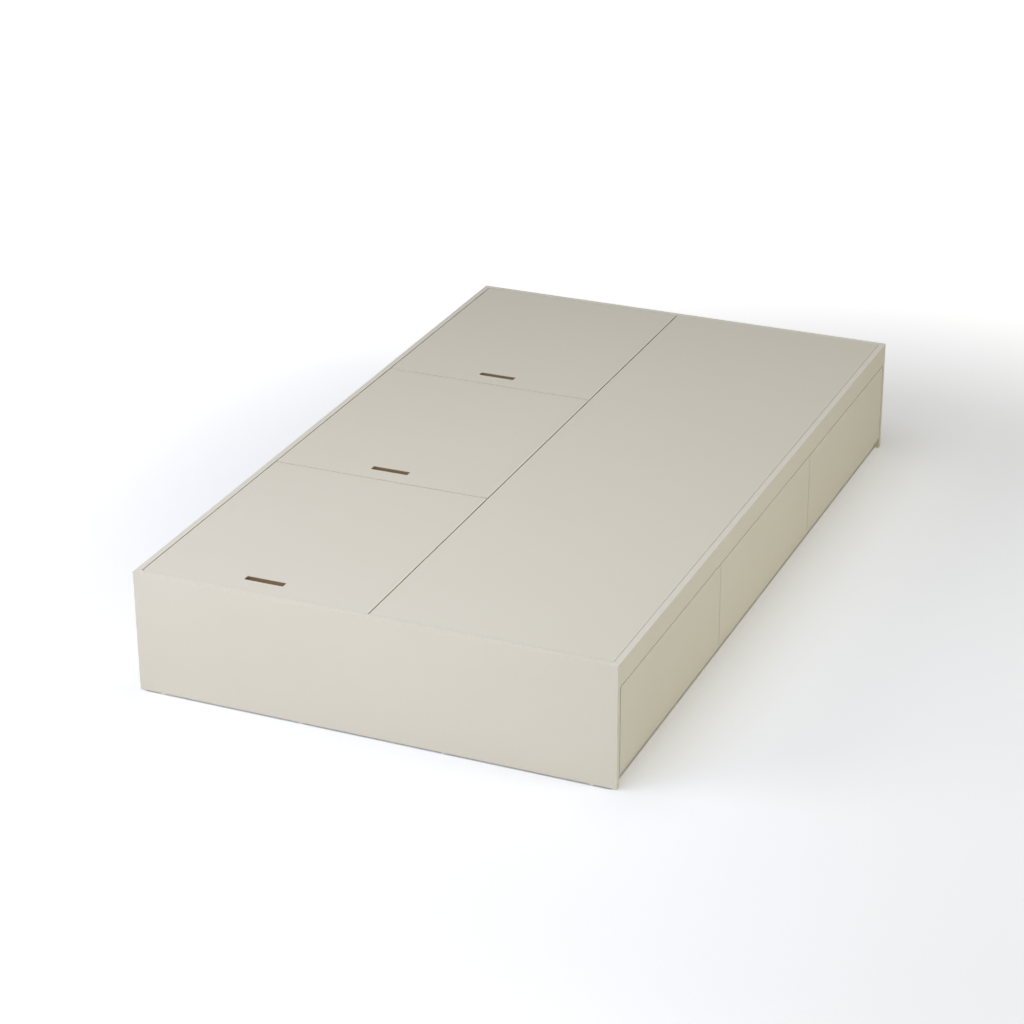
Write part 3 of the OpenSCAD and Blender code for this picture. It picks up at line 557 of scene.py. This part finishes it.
# Lacquer, bronze, on die-cast zinc: brown in the shade of the tray, with a soft gleam on its rim.
BRONZE_LACQUER = Lacquer("bronze_lacquer", "#A08B6B", "#907C5E", 0.42, 30.0, metallic=0.3)
# Rubber, moulded: nearly black and without a highlight.
PAD_RUBBER = MouldedPlastic("bumper_rubber", "#4A4744", "#3F3C3A", 0.8, 10.0, bump=0.35)
# Nylon, moulded: off-white, with a soft, waxy highlight.
GLIDE_NYLON = MouldedPlastic("glide_nylon", "#DDDACF", "#D3CFC3", 0.5, 12.0)
# Polystyrene, moulded: as pale as the boards, and smoother, so that each cap's rim catches light.
CAP_PLASTIC = MouldedPlastic("cover_cap_polystyrene", "#E0DBCF", "#DAD5C8", 0.38, 15.0, bump=0.1)
# Acetal, moulded: nearly black, with an oily highlight along its bends.
LEVER_PLASTIC = MouldedPlastic("release_lever_acetal", "#34363A", "#2B2D31", 0.42, 20.0)


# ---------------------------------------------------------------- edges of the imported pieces


@dataclass(frozen=True)
class EasedEdges:
    """The small round on every edge, from the edge bander, the die or the plane."""

    width_mm: float
    segments: int = 2
    angle_deg: float = 35.0
    weld_mm: float = 0.002
    flat_deg: float = 0.5

    def ease(self, piece: bpy.types.Object) -> None:
        """Adds the round to a piece as modifiers, so that its own mesh stays as it is.

        Args:
            piece: The object whose edges are eased.
        """
        weld = piece.modifiers.new("joined_corners", "WELD")
        weld.merge_threshold = self.weld_mm * MM
        flat = piece.modifiers.new("whole_faces", "DECIMATE")
        flat.decimate_type = "DISSOLVE"
        flat.angle_limit = math.radians(self.flat_deg)
        bevel = piece.modifiers.new("eased_edges", "BEVEL")
        bevel.width = self.width_mm * MM
        bevel.segments = self.segments
        bevel.limit_method = "ANGLE"
        bevel.angle_limit = math.radians(self.angle_deg)
        bevel.use_clamp_overlap = True
        bevel.harden_normals = False


BANDED_EDGE = EasedEdges(1.0)
LID_EDGE = EasedEdges(1.2, segments=3)
FRONT_EDGE = EasedEdges(0.5)
SAWN_EDGE = EasedEdges(0.5)
METAL_EDGE = EasedEdges(0.25, angle_deg=50.0)
TURNED_EDGE = EasedEdges(0.4)


def dress(name: str, finish: Finish, edges: EasedEdges | None = None) -> None:
    """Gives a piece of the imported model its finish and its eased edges.

    Args:
        name: The piece's node name.
        finish: Its finish.
        edges: How its edges are eased, if they are.
    """
    piece = node_object(name)
    material = finish.surface()
    if not piece.material_slots:
        piece.data.materials.append(material)
    for slot in piece.material_slots:
        slot.material = material
    if edges is not None:
        edges.ease(piece)
    LOG.info("%s: %s, %s", name, finish.name, size_of(piece))


# ---------------------------------------------------------------- repeated fittings


@dataclass
class FittingSet:
    """Copies of one small fitting, made by one tree of geometry nodes.

    Each place is a point with the way that the fitting faces. A subclass draws one fitting round
    the origin with its back at z = 0.
    """

    name: str
    body: str
    slot: str
    finish: Finish
    places: Sequence[Place]

    def sizes(self) -> dict[str, float]:
        """The tree's named inputs and their values, in metres."""
        raise NotImplementedError

    def one(self, tree: Tree, source: Node) -> Socket:
        """Draws one fitting.

        Args:
            tree: The geometry tree.
            source: Its group input node.

        Returns:
            The fitting's geometry socket.
        """
        raise NotImplementedError

    def seeds(self) -> bpy.types.Object:
        """Makes the points that the fittings stand on, each with its facing.

        Returns:
            An object that holds one vertex for each place.
        """
        mesh = bpy.data.meshes.new(self.name)
        mesh.from_pydata([tuple(point) for point, _ in self.places], [], [])
        facing = mesh.attributes.new("facing", "FLOAT_VECTOR", "POINT")
        for i, (_, way) in enumerate(self.places):
            facing.data[i].vector = way
        seeds = bpy.data.objects.new(self.name, mesh)
        bpy.context.scene.collection.objects.link(seeds)
        return seeds

    def grow(self) -> tuple[Tree, dict[str, str]]:
        """Builds the tree.

        Returns:
            The tree and the identifier of each of its named inputs.
        """
        tree = bpy.data.node_groups.new(self.name, "GeometryNodeTree")
        tree.interface.new_socket("Geometry", in_out="INPUT", socket_type="NodeSocketGeometry")
        keys = {}
        for label, value in self.sizes().items():
            socket = tree.interface.new_socket(label, in_out="INPUT", socket_type="NodeSocketFloat")
            socket.default_value = value
            keys[label] = socket.identifier
        tree.interface.new_socket("Geometry", in_out="OUTPUT", socket_type="NodeSocketGeometry")
        source = add_node(tree, "NodeGroupInput")
        fitting = self.one(tree, source)
        facing = add_node(tree, "GeometryNodeInputNamedAttribute", {"data_type": "FLOAT_VECTOR"}, {
            "Name": "facing"})
        turn = add_node(tree, "FunctionNodeAlignRotationToVector", {
            "axis": "Z", "pivot_axis": "AUTO"}, {"Vector": facing.outputs["Attribute"]})
        copies = add_node(tree, "GeometryNodeInstanceOnPoints", inputs={
            "Points": source.outputs["Geometry"], "Instance": fitting,
            "Rotation": turn.outputs["Rotation"]})
        real = add_node(tree, "GeometryNodeRealizeInstances", inputs={
            "Geometry": copies.outputs["Instances"]})
        dressed = add_node(tree, "GeometryNodeSetMaterial", inputs={
            "Geometry": real.outputs["Geometry"], "Material": self.finish.surface()})
        add_node(tree, "NodeGroupOutput", inputs={"Geometry": dressed.outputs["Geometry"]})
        return tree, keys

    def fit(self) -> None:
        """Makes the set as one plain mesh that rides on its body."""
        piece = self.seeds()
        tree, keys = self.grow()
        modifier = piece.modifiers.new("copies", "NODES")
        modifier.node_group = tree
        for label, value in self.sizes().items():
            modifier[keys[label]] = value
        view = bpy.context.evaluated_depsgraph_get()
        plain = bpy.data.meshes.new_from_object(piece.evaluated_get(view))
        piece.modifiers.clear()
        old = piece.data
        piece.data = plain
        bpy.data.meshes.remove(old)
        plain.name = self.name
        if not plain.materials:
            plain.materials.append(self.finish.surface())
        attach(piece, self.body)
        LOG.info("%s: %d fittings on %s, %d faces", self.name, len(self.places), self.body,
            len(plain.polygons))


@dataclass
class CoverCaps(FittingSet):
    """Plastic caps pressed over the cam locks: a thin flange with a low dome."""

    flange_d: float = 17.5 * MM
    flange_t: float = 0.6 * MM
    dome_d: float = 13.0 * MM
    dome_t: float = 0.6 * MM
    ease: float = 0.7 * MM
    sides: int = 40

    def sizes(self) -> dict[str, float]:
        """The flange's and dome's sizes."""
        return {"Flange Radius": self.flange_d / 2, "Flange Height": self.flange_t,
            "Dome Radius": self.dome_d / 2, "Dome Height": self.dome_t, "Ease": self.ease}

    def one(self, tree: Tree, source: Node) -> Socket:
        """Draws one cap.

        Args:
            tree: The geometry tree.
            source: Its group input node.

        Returns:
            The cap's geometry socket.
        """
        flange_top = add_node(tree, "ShaderNodeMath", {"operation": "SUBTRACT"}, {
            0: source.outputs["Flange Radius"], 1: source.outputs["Ease"]})
        flange = add_node(tree, "GeometryNodeMeshCone", inputs={
            "Vertices": self.sides, "Radius Top": flange_top.outputs["Value"],
            "Radius Bottom": source.outputs["Flange Radius"],
            "Depth": source.outputs["Flange Height"]})
        dome_top = add_node(tree, "ShaderNodeMath", {"operation": "SUBTRACT"}, {
            0: source.outputs["Dome Radius"], 1: source.outputs["Ease"]})
        whole = add_node(tree, "ShaderNodeMath", {"operation": "ADD"}, {
            0: source.outputs["Flange Height"], 1: source.outputs["Dome Height"]})
        dome = add_node(tree, "GeometryNodeMeshCone", inputs={
            "Vertices": self.sides, "Radius Top": dome_top.outputs["Value"],
            "Radius Bottom": source.outputs["Dome Radius"], "Depth": whole.outputs["Value"]})
        joined = add_node(tree, "GeometryNodeJoinGeometry")
        tree.links.new(flange.outputs["Mesh"], joined.inputs["Geometry"])
        tree.links.new(dome.outputs["Mesh"], joined.inputs["Geometry"])
        return joined.outputs["Geometry"]


@dataclass
class ReleaseLevers(FittingSet):
    """Bent plastic levers inside the runners, which free the drawer when they are pressed."""

    length: float = 78 * MM
    width: float = 11 * MM
    thickness: float = 1.6 * MM
    lift: float = 2.6 * MM
    bend: tuple[float, float] = (0.35, 0.6)
    corner: float = 0.5 * MM
    corner_steps: int = 3
    stations: int = 25

    def sizes(self) -> dict[str, float]:
        """The lever's sizes."""
        return {"Length": self.length, "Width": self.width, "Thickness": self.thickness,
            "Lift": self.lift}

    def path(self, tree: Tree, source: Node) -> Socket:
        """Draws the line that a lever follows, which rises along its bend.

        Args:
            tree: The geometry tree.
            source: Its group input node.

        Returns:
            The line's curve socket.
        """
        half = add_node(tree, "ShaderNodeMath", {"operation": "MULTIPLY"}, {
            0: source.outputs["Length"], 1: 0.5})
        back = add_node(tree, "ShaderNodeMath", {"operation": "MULTIPLY"}, {
            0: source.outputs["Length"], 1: -0.5})
        base = add_node(tree, "ShaderNodeMath", {"operation": "MULTIPLY"}, {
            0: source.outputs["Thickness"], 1: 0.5})
        start = add_node(tree, "ShaderNodeCombineXYZ", inputs={
            "X": back.outputs["Value"], "Z": base.outputs["Value"]})
        end = add_node(tree, "ShaderNodeCombineXYZ", inputs={
            "X": half.outputs["Value"], "Z": base.outputs["Value"]})
        line = add_node(tree, "GeometryNodeCurvePrimitiveLine", inputs={
            "Start": start.outputs["Vector"], "End": end.outputs["Vector"]})
        fine = add_node(tree, "GeometryNodeResampleCurve", inputs={
            "Curve": line.outputs["Curve"], "Count": self.stations})
        along = add_node(tree, "GeometryNodeSplineParameter")
        swell = add_node(tree, "ShaderNodeMapRange", {"interpolation_type": "SMOOTHSTEP"}, {
            "Value": along.outputs["Factor"], "From Min": self.bend[0],
            "From Max": self.bend[1], "To Min": 0.0, "To Max": source.outputs["Lift"]})
        rise = add_node(tree, "ShaderNodeCombineXYZ", inputs={"Z": swell.outputs["Result"]})
        bent = add_node(tree, "GeometryNodeSetPosition", inputs={
            "Geometry": fine.outputs["Curve"], "Offset": rise.outputs["Vector"]})
        return bent.outputs["Geometry"]

    def one(self, tree: Tree, source: Node) -> Socket:
        """Draws one lever.

        Args:
            tree: The geometry tree.
            source: Its group input node.

        Returns:
            The lever's geometry socket.
        """
        section = add_node(tree, "GeometryNodeCurvePrimitiveQuadrilateral", inputs={
            "Width": source.outputs["Thickness"], "Height": source.outputs["Width"]})
        rounded = add_node(tree, "GeometryNodeFilletCurve", {"mode": "POLY"}, {
            "Curve": section.outputs["Curve"], "Count": self.corner_steps,
            "Radius": self.corner})
        lever = add_node(tree, "GeometryNodeCurveToMesh", inputs={
            "Curve": self.path(tree, source), "Profile Curve": rounded.outputs["Curve"],
            "Fill Caps": True})
        return lever.outputs["Mesh"]


# ---------------------------------------------------------------- sub-assemblies


@dataclass
class Carcass:
    """The outer panels, divider, partitions, rails and fixed deck, with their joints."""

    end_panels: tuple[str, ...] = ("foot_panel", "head_panel")
    across_boards: tuple[str, ...] = ("left_side_panel", "top_side_rail", "plinth_rail")
    partitions: tuple[str, ...] = ("drawer_partition_foot", "drawer_partition_head",
        "storage_partition_foot", "storage_partition_head")
    cam_setback: float = 34 * MM
    cam_heights: tuple[float, float] = (63 * MM, 232 * MM)
    partition_cam_heights: tuple[float, float] = (93 * MM, 202 * MM)
    plinth_cam_height: float = 24 * MM

    def dress_boards(self) -> None:
        """Finishes the boards."""
        for name in self.end_panels:
            dress(name, outer_board(Axis.ALONG), BANDED_EDGE)
        for name in self.across_boards:
            dress(name, outer_board(Axis.ACROSS), FRONT_EDGE)
        dress("fixed_deck_panel", outer_board(Axis.UP), BANDED_EDGE)
        dress("centre_divider", inner_board(Axis.ACROSS), BANDED_EDGE)
        for name in self.partitions:
            dress(name, inner_board(Axis.ALONG), BANDED_EDGE)

    def dress_joints(self) -> None:
        """Finishes the cams, bolts, dowels, screws and glides."""
        dress("cam_locks", CAST_ZINC, METAL_EDGE)
        dress("cam_bolts", TURNED_STEEL, METAL_EDGE)
        dress("dowels", TURNED_BEECH)
        dress("frame_screws", BRIGHT_SCREWS)
        dress("floor_glides", GLIDE_NYLON, TURNED_EDGE)

    def cap_places(self) -> list[Place]:
        """Finds where a cam lock shows on a board's face.

        Returns:
            The middle of each lock's face and the way that the face looks.
        """
        right = Vector((1, 0, 0))
        headward = Vector((0, 1, 0))
        places = []
        for board in ("left_side_panel", "centre_divider"):
            low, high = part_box(board)
            for y in (low.y + self.cam_setback, high.y - self.cam_setback):
                for z in self.cam_heights:
                    places.append((Vector((high.x, y, z)), right))
        low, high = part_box("plinth_rail")
        for y in (low.y + self.cam_setback, high.y - self.cam_setback):
            places.append((Vector((low.x, y, self.plinth_cam_height)), -right))
        for end in (Bay.FOOT, Bay.HEAD):
            low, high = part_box(f"drawer_partition_{end.value}")
            for z in self.cam_heights:
                places.append((Vector((low.x + self.cam_setback, high.y, z)), headward))
            low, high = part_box(f"storage_partition_{end.value}")
            for z in self.partition_cam_heights:
                for x in (low.x + self.cam_setback, high.x - self.cam_setback):
                    places.append((Vector((x, high.y, z)), headward))
        return places

    def build(self) -> None:
        """Finishes the carcass and caps its cam locks."""
        self.dress_boards()
        self.dress_joints()
        CoverCaps("cam_cover_caps", "frame", "inner_laminate", CAP_PLASTIC,
            self.cap_places()).fit()


@dataclass
class StorageCompartments:
    """The floors, cleats, ledges and bumper pads of the compartments under the lids."""

    bars: tuple[str, ...] = ("lid_ledges", "deck_cleats", "floor_cleats")

    def build(self) -> None:
        """Finishes every piece of the compartments."""
        for bay in Bay:
            dress(f"storage_floor_{bay.value}", BIRCH_PLYWOOD, SAWN_EDGE)
        for name in self.bars:
            dress(name, PLANED_PINE, SAWN_EDGE)
        dress("lid_bumpers", PAD_RUBBER, TURNED_EDGE)


@dataclass
class LiftLid:
    """One lid with its finger pull, hinge leaves and screws."""

    bay: Bay

    def build(self) -> None:
        """Finishes the lid's pieces."""
        dress(f"lid_{self.bay.value}_board", outer_board(Axis.UP), LID_EDGE)
        dress(f"lid_{self.bay.value}_pull", BRONZE_LACQUER, METAL_EDGE)
        dress(f"lid_{self.bay.value}_leaves", ROLLED_STEEL, METAL_EDGE)
        dress(f"lid_{self.bay.value}_screws", BRIGHT_SCREWS)


@dataclass
class DrawerUnit:
    """One drawer with its box, its runner members and their release levers."""

    bay: Bay
    lever_from_front: float = 150 * MM
    runner_web: float = 1.2 * MM

    def lever_places(self) -> list[Place]:
        """Finds the web of each inner runner member.

        Returns:
            The middle of each lever's back and the way that the lever faces.
        """
        low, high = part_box(f"drawer_{self.bay.value}_inner_members")
        sides_low, sides_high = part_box(f"drawer_{self.bay.value}_sides")
        x = high.x - self.lever_from_front
        z = (low.z + high.z) / 2
        return [(Vector((x, sides_low.y - self.runner_web, z)), Vector((0, -1, 0))),
            (Vector((x, sides_high.y + self.runner_web, z)), Vector((0, 1, 0)))]

    def build(self) -> None:
        """Finishes the drawer's pieces and adds the levers."""
        name = self.bay.value
        dress(f"drawer_{name}_front", outer_board(Axis.ACROSS), FRONT_EDGE)
        dress(f"drawer_{name}_sides", inner_board(Axis.ALONG), SAWN_EDGE)
        dress(f"drawer_{name}_ends", inner_board(Axis.ACROSS), SAWN_EDGE)
        dress(f"drawer_{name}_bottom", BIRCH_PLYWOOD)
        dress(f"drawer_{name}_inner_members", ROLLED_STEEL, METAL_EDGE)
        dress(f"drawer_{name}_screws", BRIGHT_SCREWS)
        dress(f"runner_{name}_intermediates", ROLLED_STEEL, METAL_EDGE)
        ReleaseLevers(f"drawer_{name}_release_levers", f"drawer_{name}", "bumper_rubber",
            LEVER_PLASTIC, self.lever_places()).fit()


@dataclass
class FrameHardware:
    """The hinge leaves, pivot pins and outer runner members on the carcass."""

    def build(self) -> None:
        """Finishes the hardware."""
        dress("hinge_frame_leaves", ROLLED_STEEL, METAL_EDGE)
        dress("hinge_pins", TURNED_STEEL, METAL_EDGE)
        dress("runner_outer_members", ROLLED_STEEL, METAL_EDGE)


# ---------------------------------------------------------------- studio and camera


@dataclass(frozen=True)
class Softbox:
    """A square lamp: where it hangs, where it points, its size, its power and its tint."""

    name: str
    place: tuple[float, float, float]
    target: tuple[float, float, float]
    size: float
    watts: float
    tint: str

    def hang(self) -> None:
        """Puts the lamp in the scene."""
        light = bpy.data.lights.new(self.name, "AREA")
        light.shape = "SQUARE"
        light.size = self.size
        light.energy = self.watts
        light.color = linear(self.tint)[:3]
        lamp = bpy.data.objects.new(self.name, light)
        lamp.location = self.place
        aim = Vector(self.target) - Vector(self.place)
        lamp.rotation_euler = aim.to_track_quat("-Z", "Y").to_euler()
        bpy.context.scene.collection.objects.link(lamp)


@dataclass
class Studio:
    """A pale floor in an evenly lit white room, with a large soft key light at the left of the
    foot end and weaker ones in front, overhead, on the drawers' side and behind the head end.

    The floor also has a painted glow, but only for rays from the camera and through clear things: a
    little near the bed, where its shadow shows, none right under it, and nearly to full white
    further off.
    """

    floor_size: float = 60.0
    floor_tone: str = "#E8E8E6"
    room_tone: str = "#FCFBFA"
    ambient: float = 0.175
    # Painted glow: weak near the bed and strong far off, growing between the two reach distances
    # from reach_centre.
    painted_glow_near: float = 0.25
    painted_glow_far: float = 0.92
    reach: tuple[float, float] = (1.3, 3.4)
    reach_centre: tuple[float, float, float] = (0.75, -0.3, 0.0)
    contact: float = 4 * MM
    lamps: tuple[Softbox, ...] = (
        Softbox("key_softbox", (-3.4, -2.9, 2.1), (0.0, -0.3, 0.1), 2.6, 105.0, "#F2F1FF"),
        Softbox("front_softbox", (-0.2, -2.4, 2.2), (0.0, -0.2, 0.2), 1.6, 24.8, "#D7E3FF"),
        Softbox("low_front_softbox", (0.8, -3.4, 1.0), (0.2, -1.0, 0.15), 1.6, 12.6, "#FFFBEE"),
        Softbox("overhead_softbox", (-0.2, -0.2, 3.0), (0.0, 0.0, 0.2), 2.0, 24.3, "#F1F5FF"),
        Softbox("far_side_softbox", (6.0, 0.5, 2.5), (0.5, 0.0, 0.1), 2.0, 77.0, "#FFFDF0"),
        Softbox("near_side_softbox", (3.2, -0.4, 0.9), (0.5, 0.0, 0.1), 1.2, 10.1, "#FFFEF5"),
        Softbox("back_softbox", (0.6, 4.6, 0.7), (0.0, 0.0, 0.1), 2.0, 13.0, "#FFF3D8"),
    )

    def room(self) -> None:
        """Lights the room evenly, and shows white to the camera, gloss and glass."""
        world = bpy.data.worlds.new("studio_room")
        bpy.context.scene.world = world
        world.use_nodes = True
        tree = world.node_tree
        tree.nodes.clear()
        seen = rays_of(tree, "Is Camera Ray", "Is Transmission Ray", "Is Glossy Ray")
        light = add_node(tree, "ShaderNodeBackground", inputs={
            "Color": linear(self.room_tone), "Strength": self.ambient})
        white = add_node(tree, "ShaderNodeBackground", inputs={
            "Color": (1, 1, 1, 1), "Strength": 1.0})
        shown = add_node(tree, "ShaderNodeMixShader", inputs={
            0: seen, 1: light.outputs["Background"], 2: white.outputs["Background"]})
        add_node(tree, "ShaderNodeOutputWorld", inputs={"Surface": shown.outputs["Shader"]})

    def lift(self, tree: Tree, place: Node) -> Socket:
        """Works out the strength of the floor's painted glow, which lifts it towards white, at each
        point.

        Args:
            tree: The floor material's tree.
            place: Its texture coordinate node.

        Returns:
            The socket of the glow's strength.
        """
        # The painted glow grows with the distance from a point beside the bed.
        away = add_node(tree, "ShaderNodeVectorMath", {"operation": "DISTANCE"}, {
            0: place.outputs["Object"], 1: self.reach_centre})
        lift = add_node(tree, "ShaderNodeMapRange", {"interpolation_type": "SMOOTHSTEP"}, {
            "Value": away.outputs["Value"], "From Min": self.reach[0],
            "From Max": self.reach[1], "To Min": self.painted_glow_near, "To Max": self.painted_glow_far})
        # No painted glow right under the bed, so that its dark contact line stays.
        plinth_face, head_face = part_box("plinth_rail")[1].x, cad_box[1][1]
        along = add_node(tree, "ShaderNodeVectorMath", {"operation": "ABSOLUTE"}, {
            0: place.outputs["Object"]})
        past = add_node(tree, "ShaderNodeVectorMath", {"operation": "SUBTRACT"}, {
            0: along.outputs["Vector"], 1: (plinth_face, head_face, 0.0)})
        sides = add_node(tree, "ShaderNodeSeparateXYZ", inputs={"Vector": past.outputs["Vector"]})
        outside = add_node(tree, "ShaderNodeMath", {"operation": "MAXIMUM"}, {
            0: sides.outputs["X"], 1: sides.outputs["Y"]})
        glow_outside_bed = add_node(tree, "ShaderNodeMapRange", {"interpolation_type": "SMOOTHSTEP"}, {
            "Value": outside.outputs["Value"], "From Min": 0.0, "From Max": self.contact})
        clear = add_node(tree, "ShaderNodeMath", {"operation": "MULTIPLY"}, {
            0: lift.outputs["Result"], 1: glow_outside_bed.outputs["Result"]})
        return clear.outputs["Value"]

    def floor_paint(self) -> bpy.types.Material:
        """Makes the floor's material: matt paint that the camera sees lifted towards white by a
        painted glow.

        Returns:
            The new material.
        """
        material = bpy.data.materials.new("studio_floor_paint")
        material.use_nodes = True
        tree = material.node_tree
        tree.nodes.clear()
        place = add_node(tree, "ShaderNodeTexCoord")
        matt = add_node(tree, "ShaderNodeBsdfDiffuse", inputs={"Color": linear(self.floor_tone)})
        # The painted glow: the floor shines for the camera though it is no lamp.
        painted_glow_strength = add_node(tree, "ShaderNodeMath", {"operation": "MULTIPLY"}, {
            0: rays_of(tree, "Is Camera Ray", "Is Transmission Ray"), 1: self.lift(tree, place)})
        glow = add_node(tree, "ShaderNodeEmission", inputs={
            "Color": (1, 1, 1, 1), "Strength": painted_glow_strength.outputs["Value"]})
        both = add_node(tree, "ShaderNodeAddShader", inputs={
            0: matt.outputs["BSDF"], 1: glow.outputs["Emission"]})
        add_node(tree, "ShaderNodeOutputMaterial", inputs={"Surface": both.outputs["Shader"]})
        return material

    def floor(self) -> None:
        """Lays the floor."""
        half = self.floor_size / 2
        corners = [(-half, -half, 0), (half, -half, 0), (half, half, 0), (-half, half, 0)]
        mesh = bpy.data.meshes.new("studio_floor")
        mesh.from_pydata(corners, [], [(0, 1, 2, 3)])
        mesh.materials.append(self.floor_paint())
        floor = bpy.data.objects.new("studio_floor", mesh)
        bpy.context.scene.collection.objects.link(floor)

    def build(self) -> None:
        """Sets up the room, the floor and the lamps."""
        self.room()
        self.floor()
        for lamp in self.lamps:
            lamp.hang()
        LOG.info("studio: floor %.0f m, %d lamps", self.floor_size, len(self.lamps))


@dataclass
class PhotoCamera:
    """The camera at the photograph's place and angle, with its lens in the photograph's pixels."""

    place: tuple[float, float, float] = (2.5130, -6.0166, 3.1849)
    azimuth_deg: float = 23.43
    elevation_deg: float = 25.05
    roll_deg: float = -0.38
    focal_px: float = 2818.0
    centre_px: tuple[float, float] = (508.5, 509.5)
    image_px: float = 1024.0
    sensor_mm: float = 36.0
    sight: float = 200.0

    def axes(self) -> Matrix:
        """Works out how the camera is turned.

        Returns:
            The camera's right, up and back as the columns of a matrix.
        """
        angles = (self.azimuth_deg, self.elevation_deg, self.roll_deg)
        az, el, roll = (math.radians(a) for a in angles)
        ahead = Vector((-math.sin(az) * math.cos(el), math.cos(az) * math.cos(el), -math.sin(el)))
        level = Vector((math.cos(az), math.sin(az), 0))
        upright = level.cross(ahead)
        right = math.cos(roll) * level + math.sin(roll) * upright
        up = -math.sin(roll) * level + math.cos(roll) * upright
        return Matrix((right, up, -ahead)).transposed()

    def build(self) -> None:
        """Puts the camera in the scene and makes it the active one."""
        lens = bpy.data.cameras.new("photo_camera")
        lens.sensor_fit = "HORIZONTAL"
        lens.sensor_width = self.sensor_mm
        lens.lens = self.focal_px / self.image_px * self.sensor_mm
        lens.shift_x = (self.image_px / 2 - self.centre_px[0]) / self.image_px
        lens.shift_y = (self.centre_px[1] - self.image_px / 2) / self.image_px
        lens.clip_end = self.sight
        camera = bpy.data.objects.new("photo_camera", lens)
        camera.matrix_world = Matrix.Translation(self.place) @ self.axes().to_4x4()
        bpy.context.scene.collection.objects.link(camera)
        bpy.context.scene.camera = camera
        LOG.info("camera: %.1f mm lens", lens.lens)


# ---------------------------------------------------------------- the whole bed


def main() -> None:
    """Builds the camera, the studio and every sub-assembly in order."""
    logging.basicConfig(level=logging.INFO, format="%(name)s: %(message)s")
    scene = bpy.context.scene
    scene.view_settings.view_transform = "Standard"
    PhotoCamera().build()
    Studio().build()
    Carcass().build()
    FrameHardware().build()
    StorageCompartments().build()
    for bay in Bay:
        LiftLid(bay).build()
        DrawerUnit(bay).build()


if __name__ == "__main__":
    main()
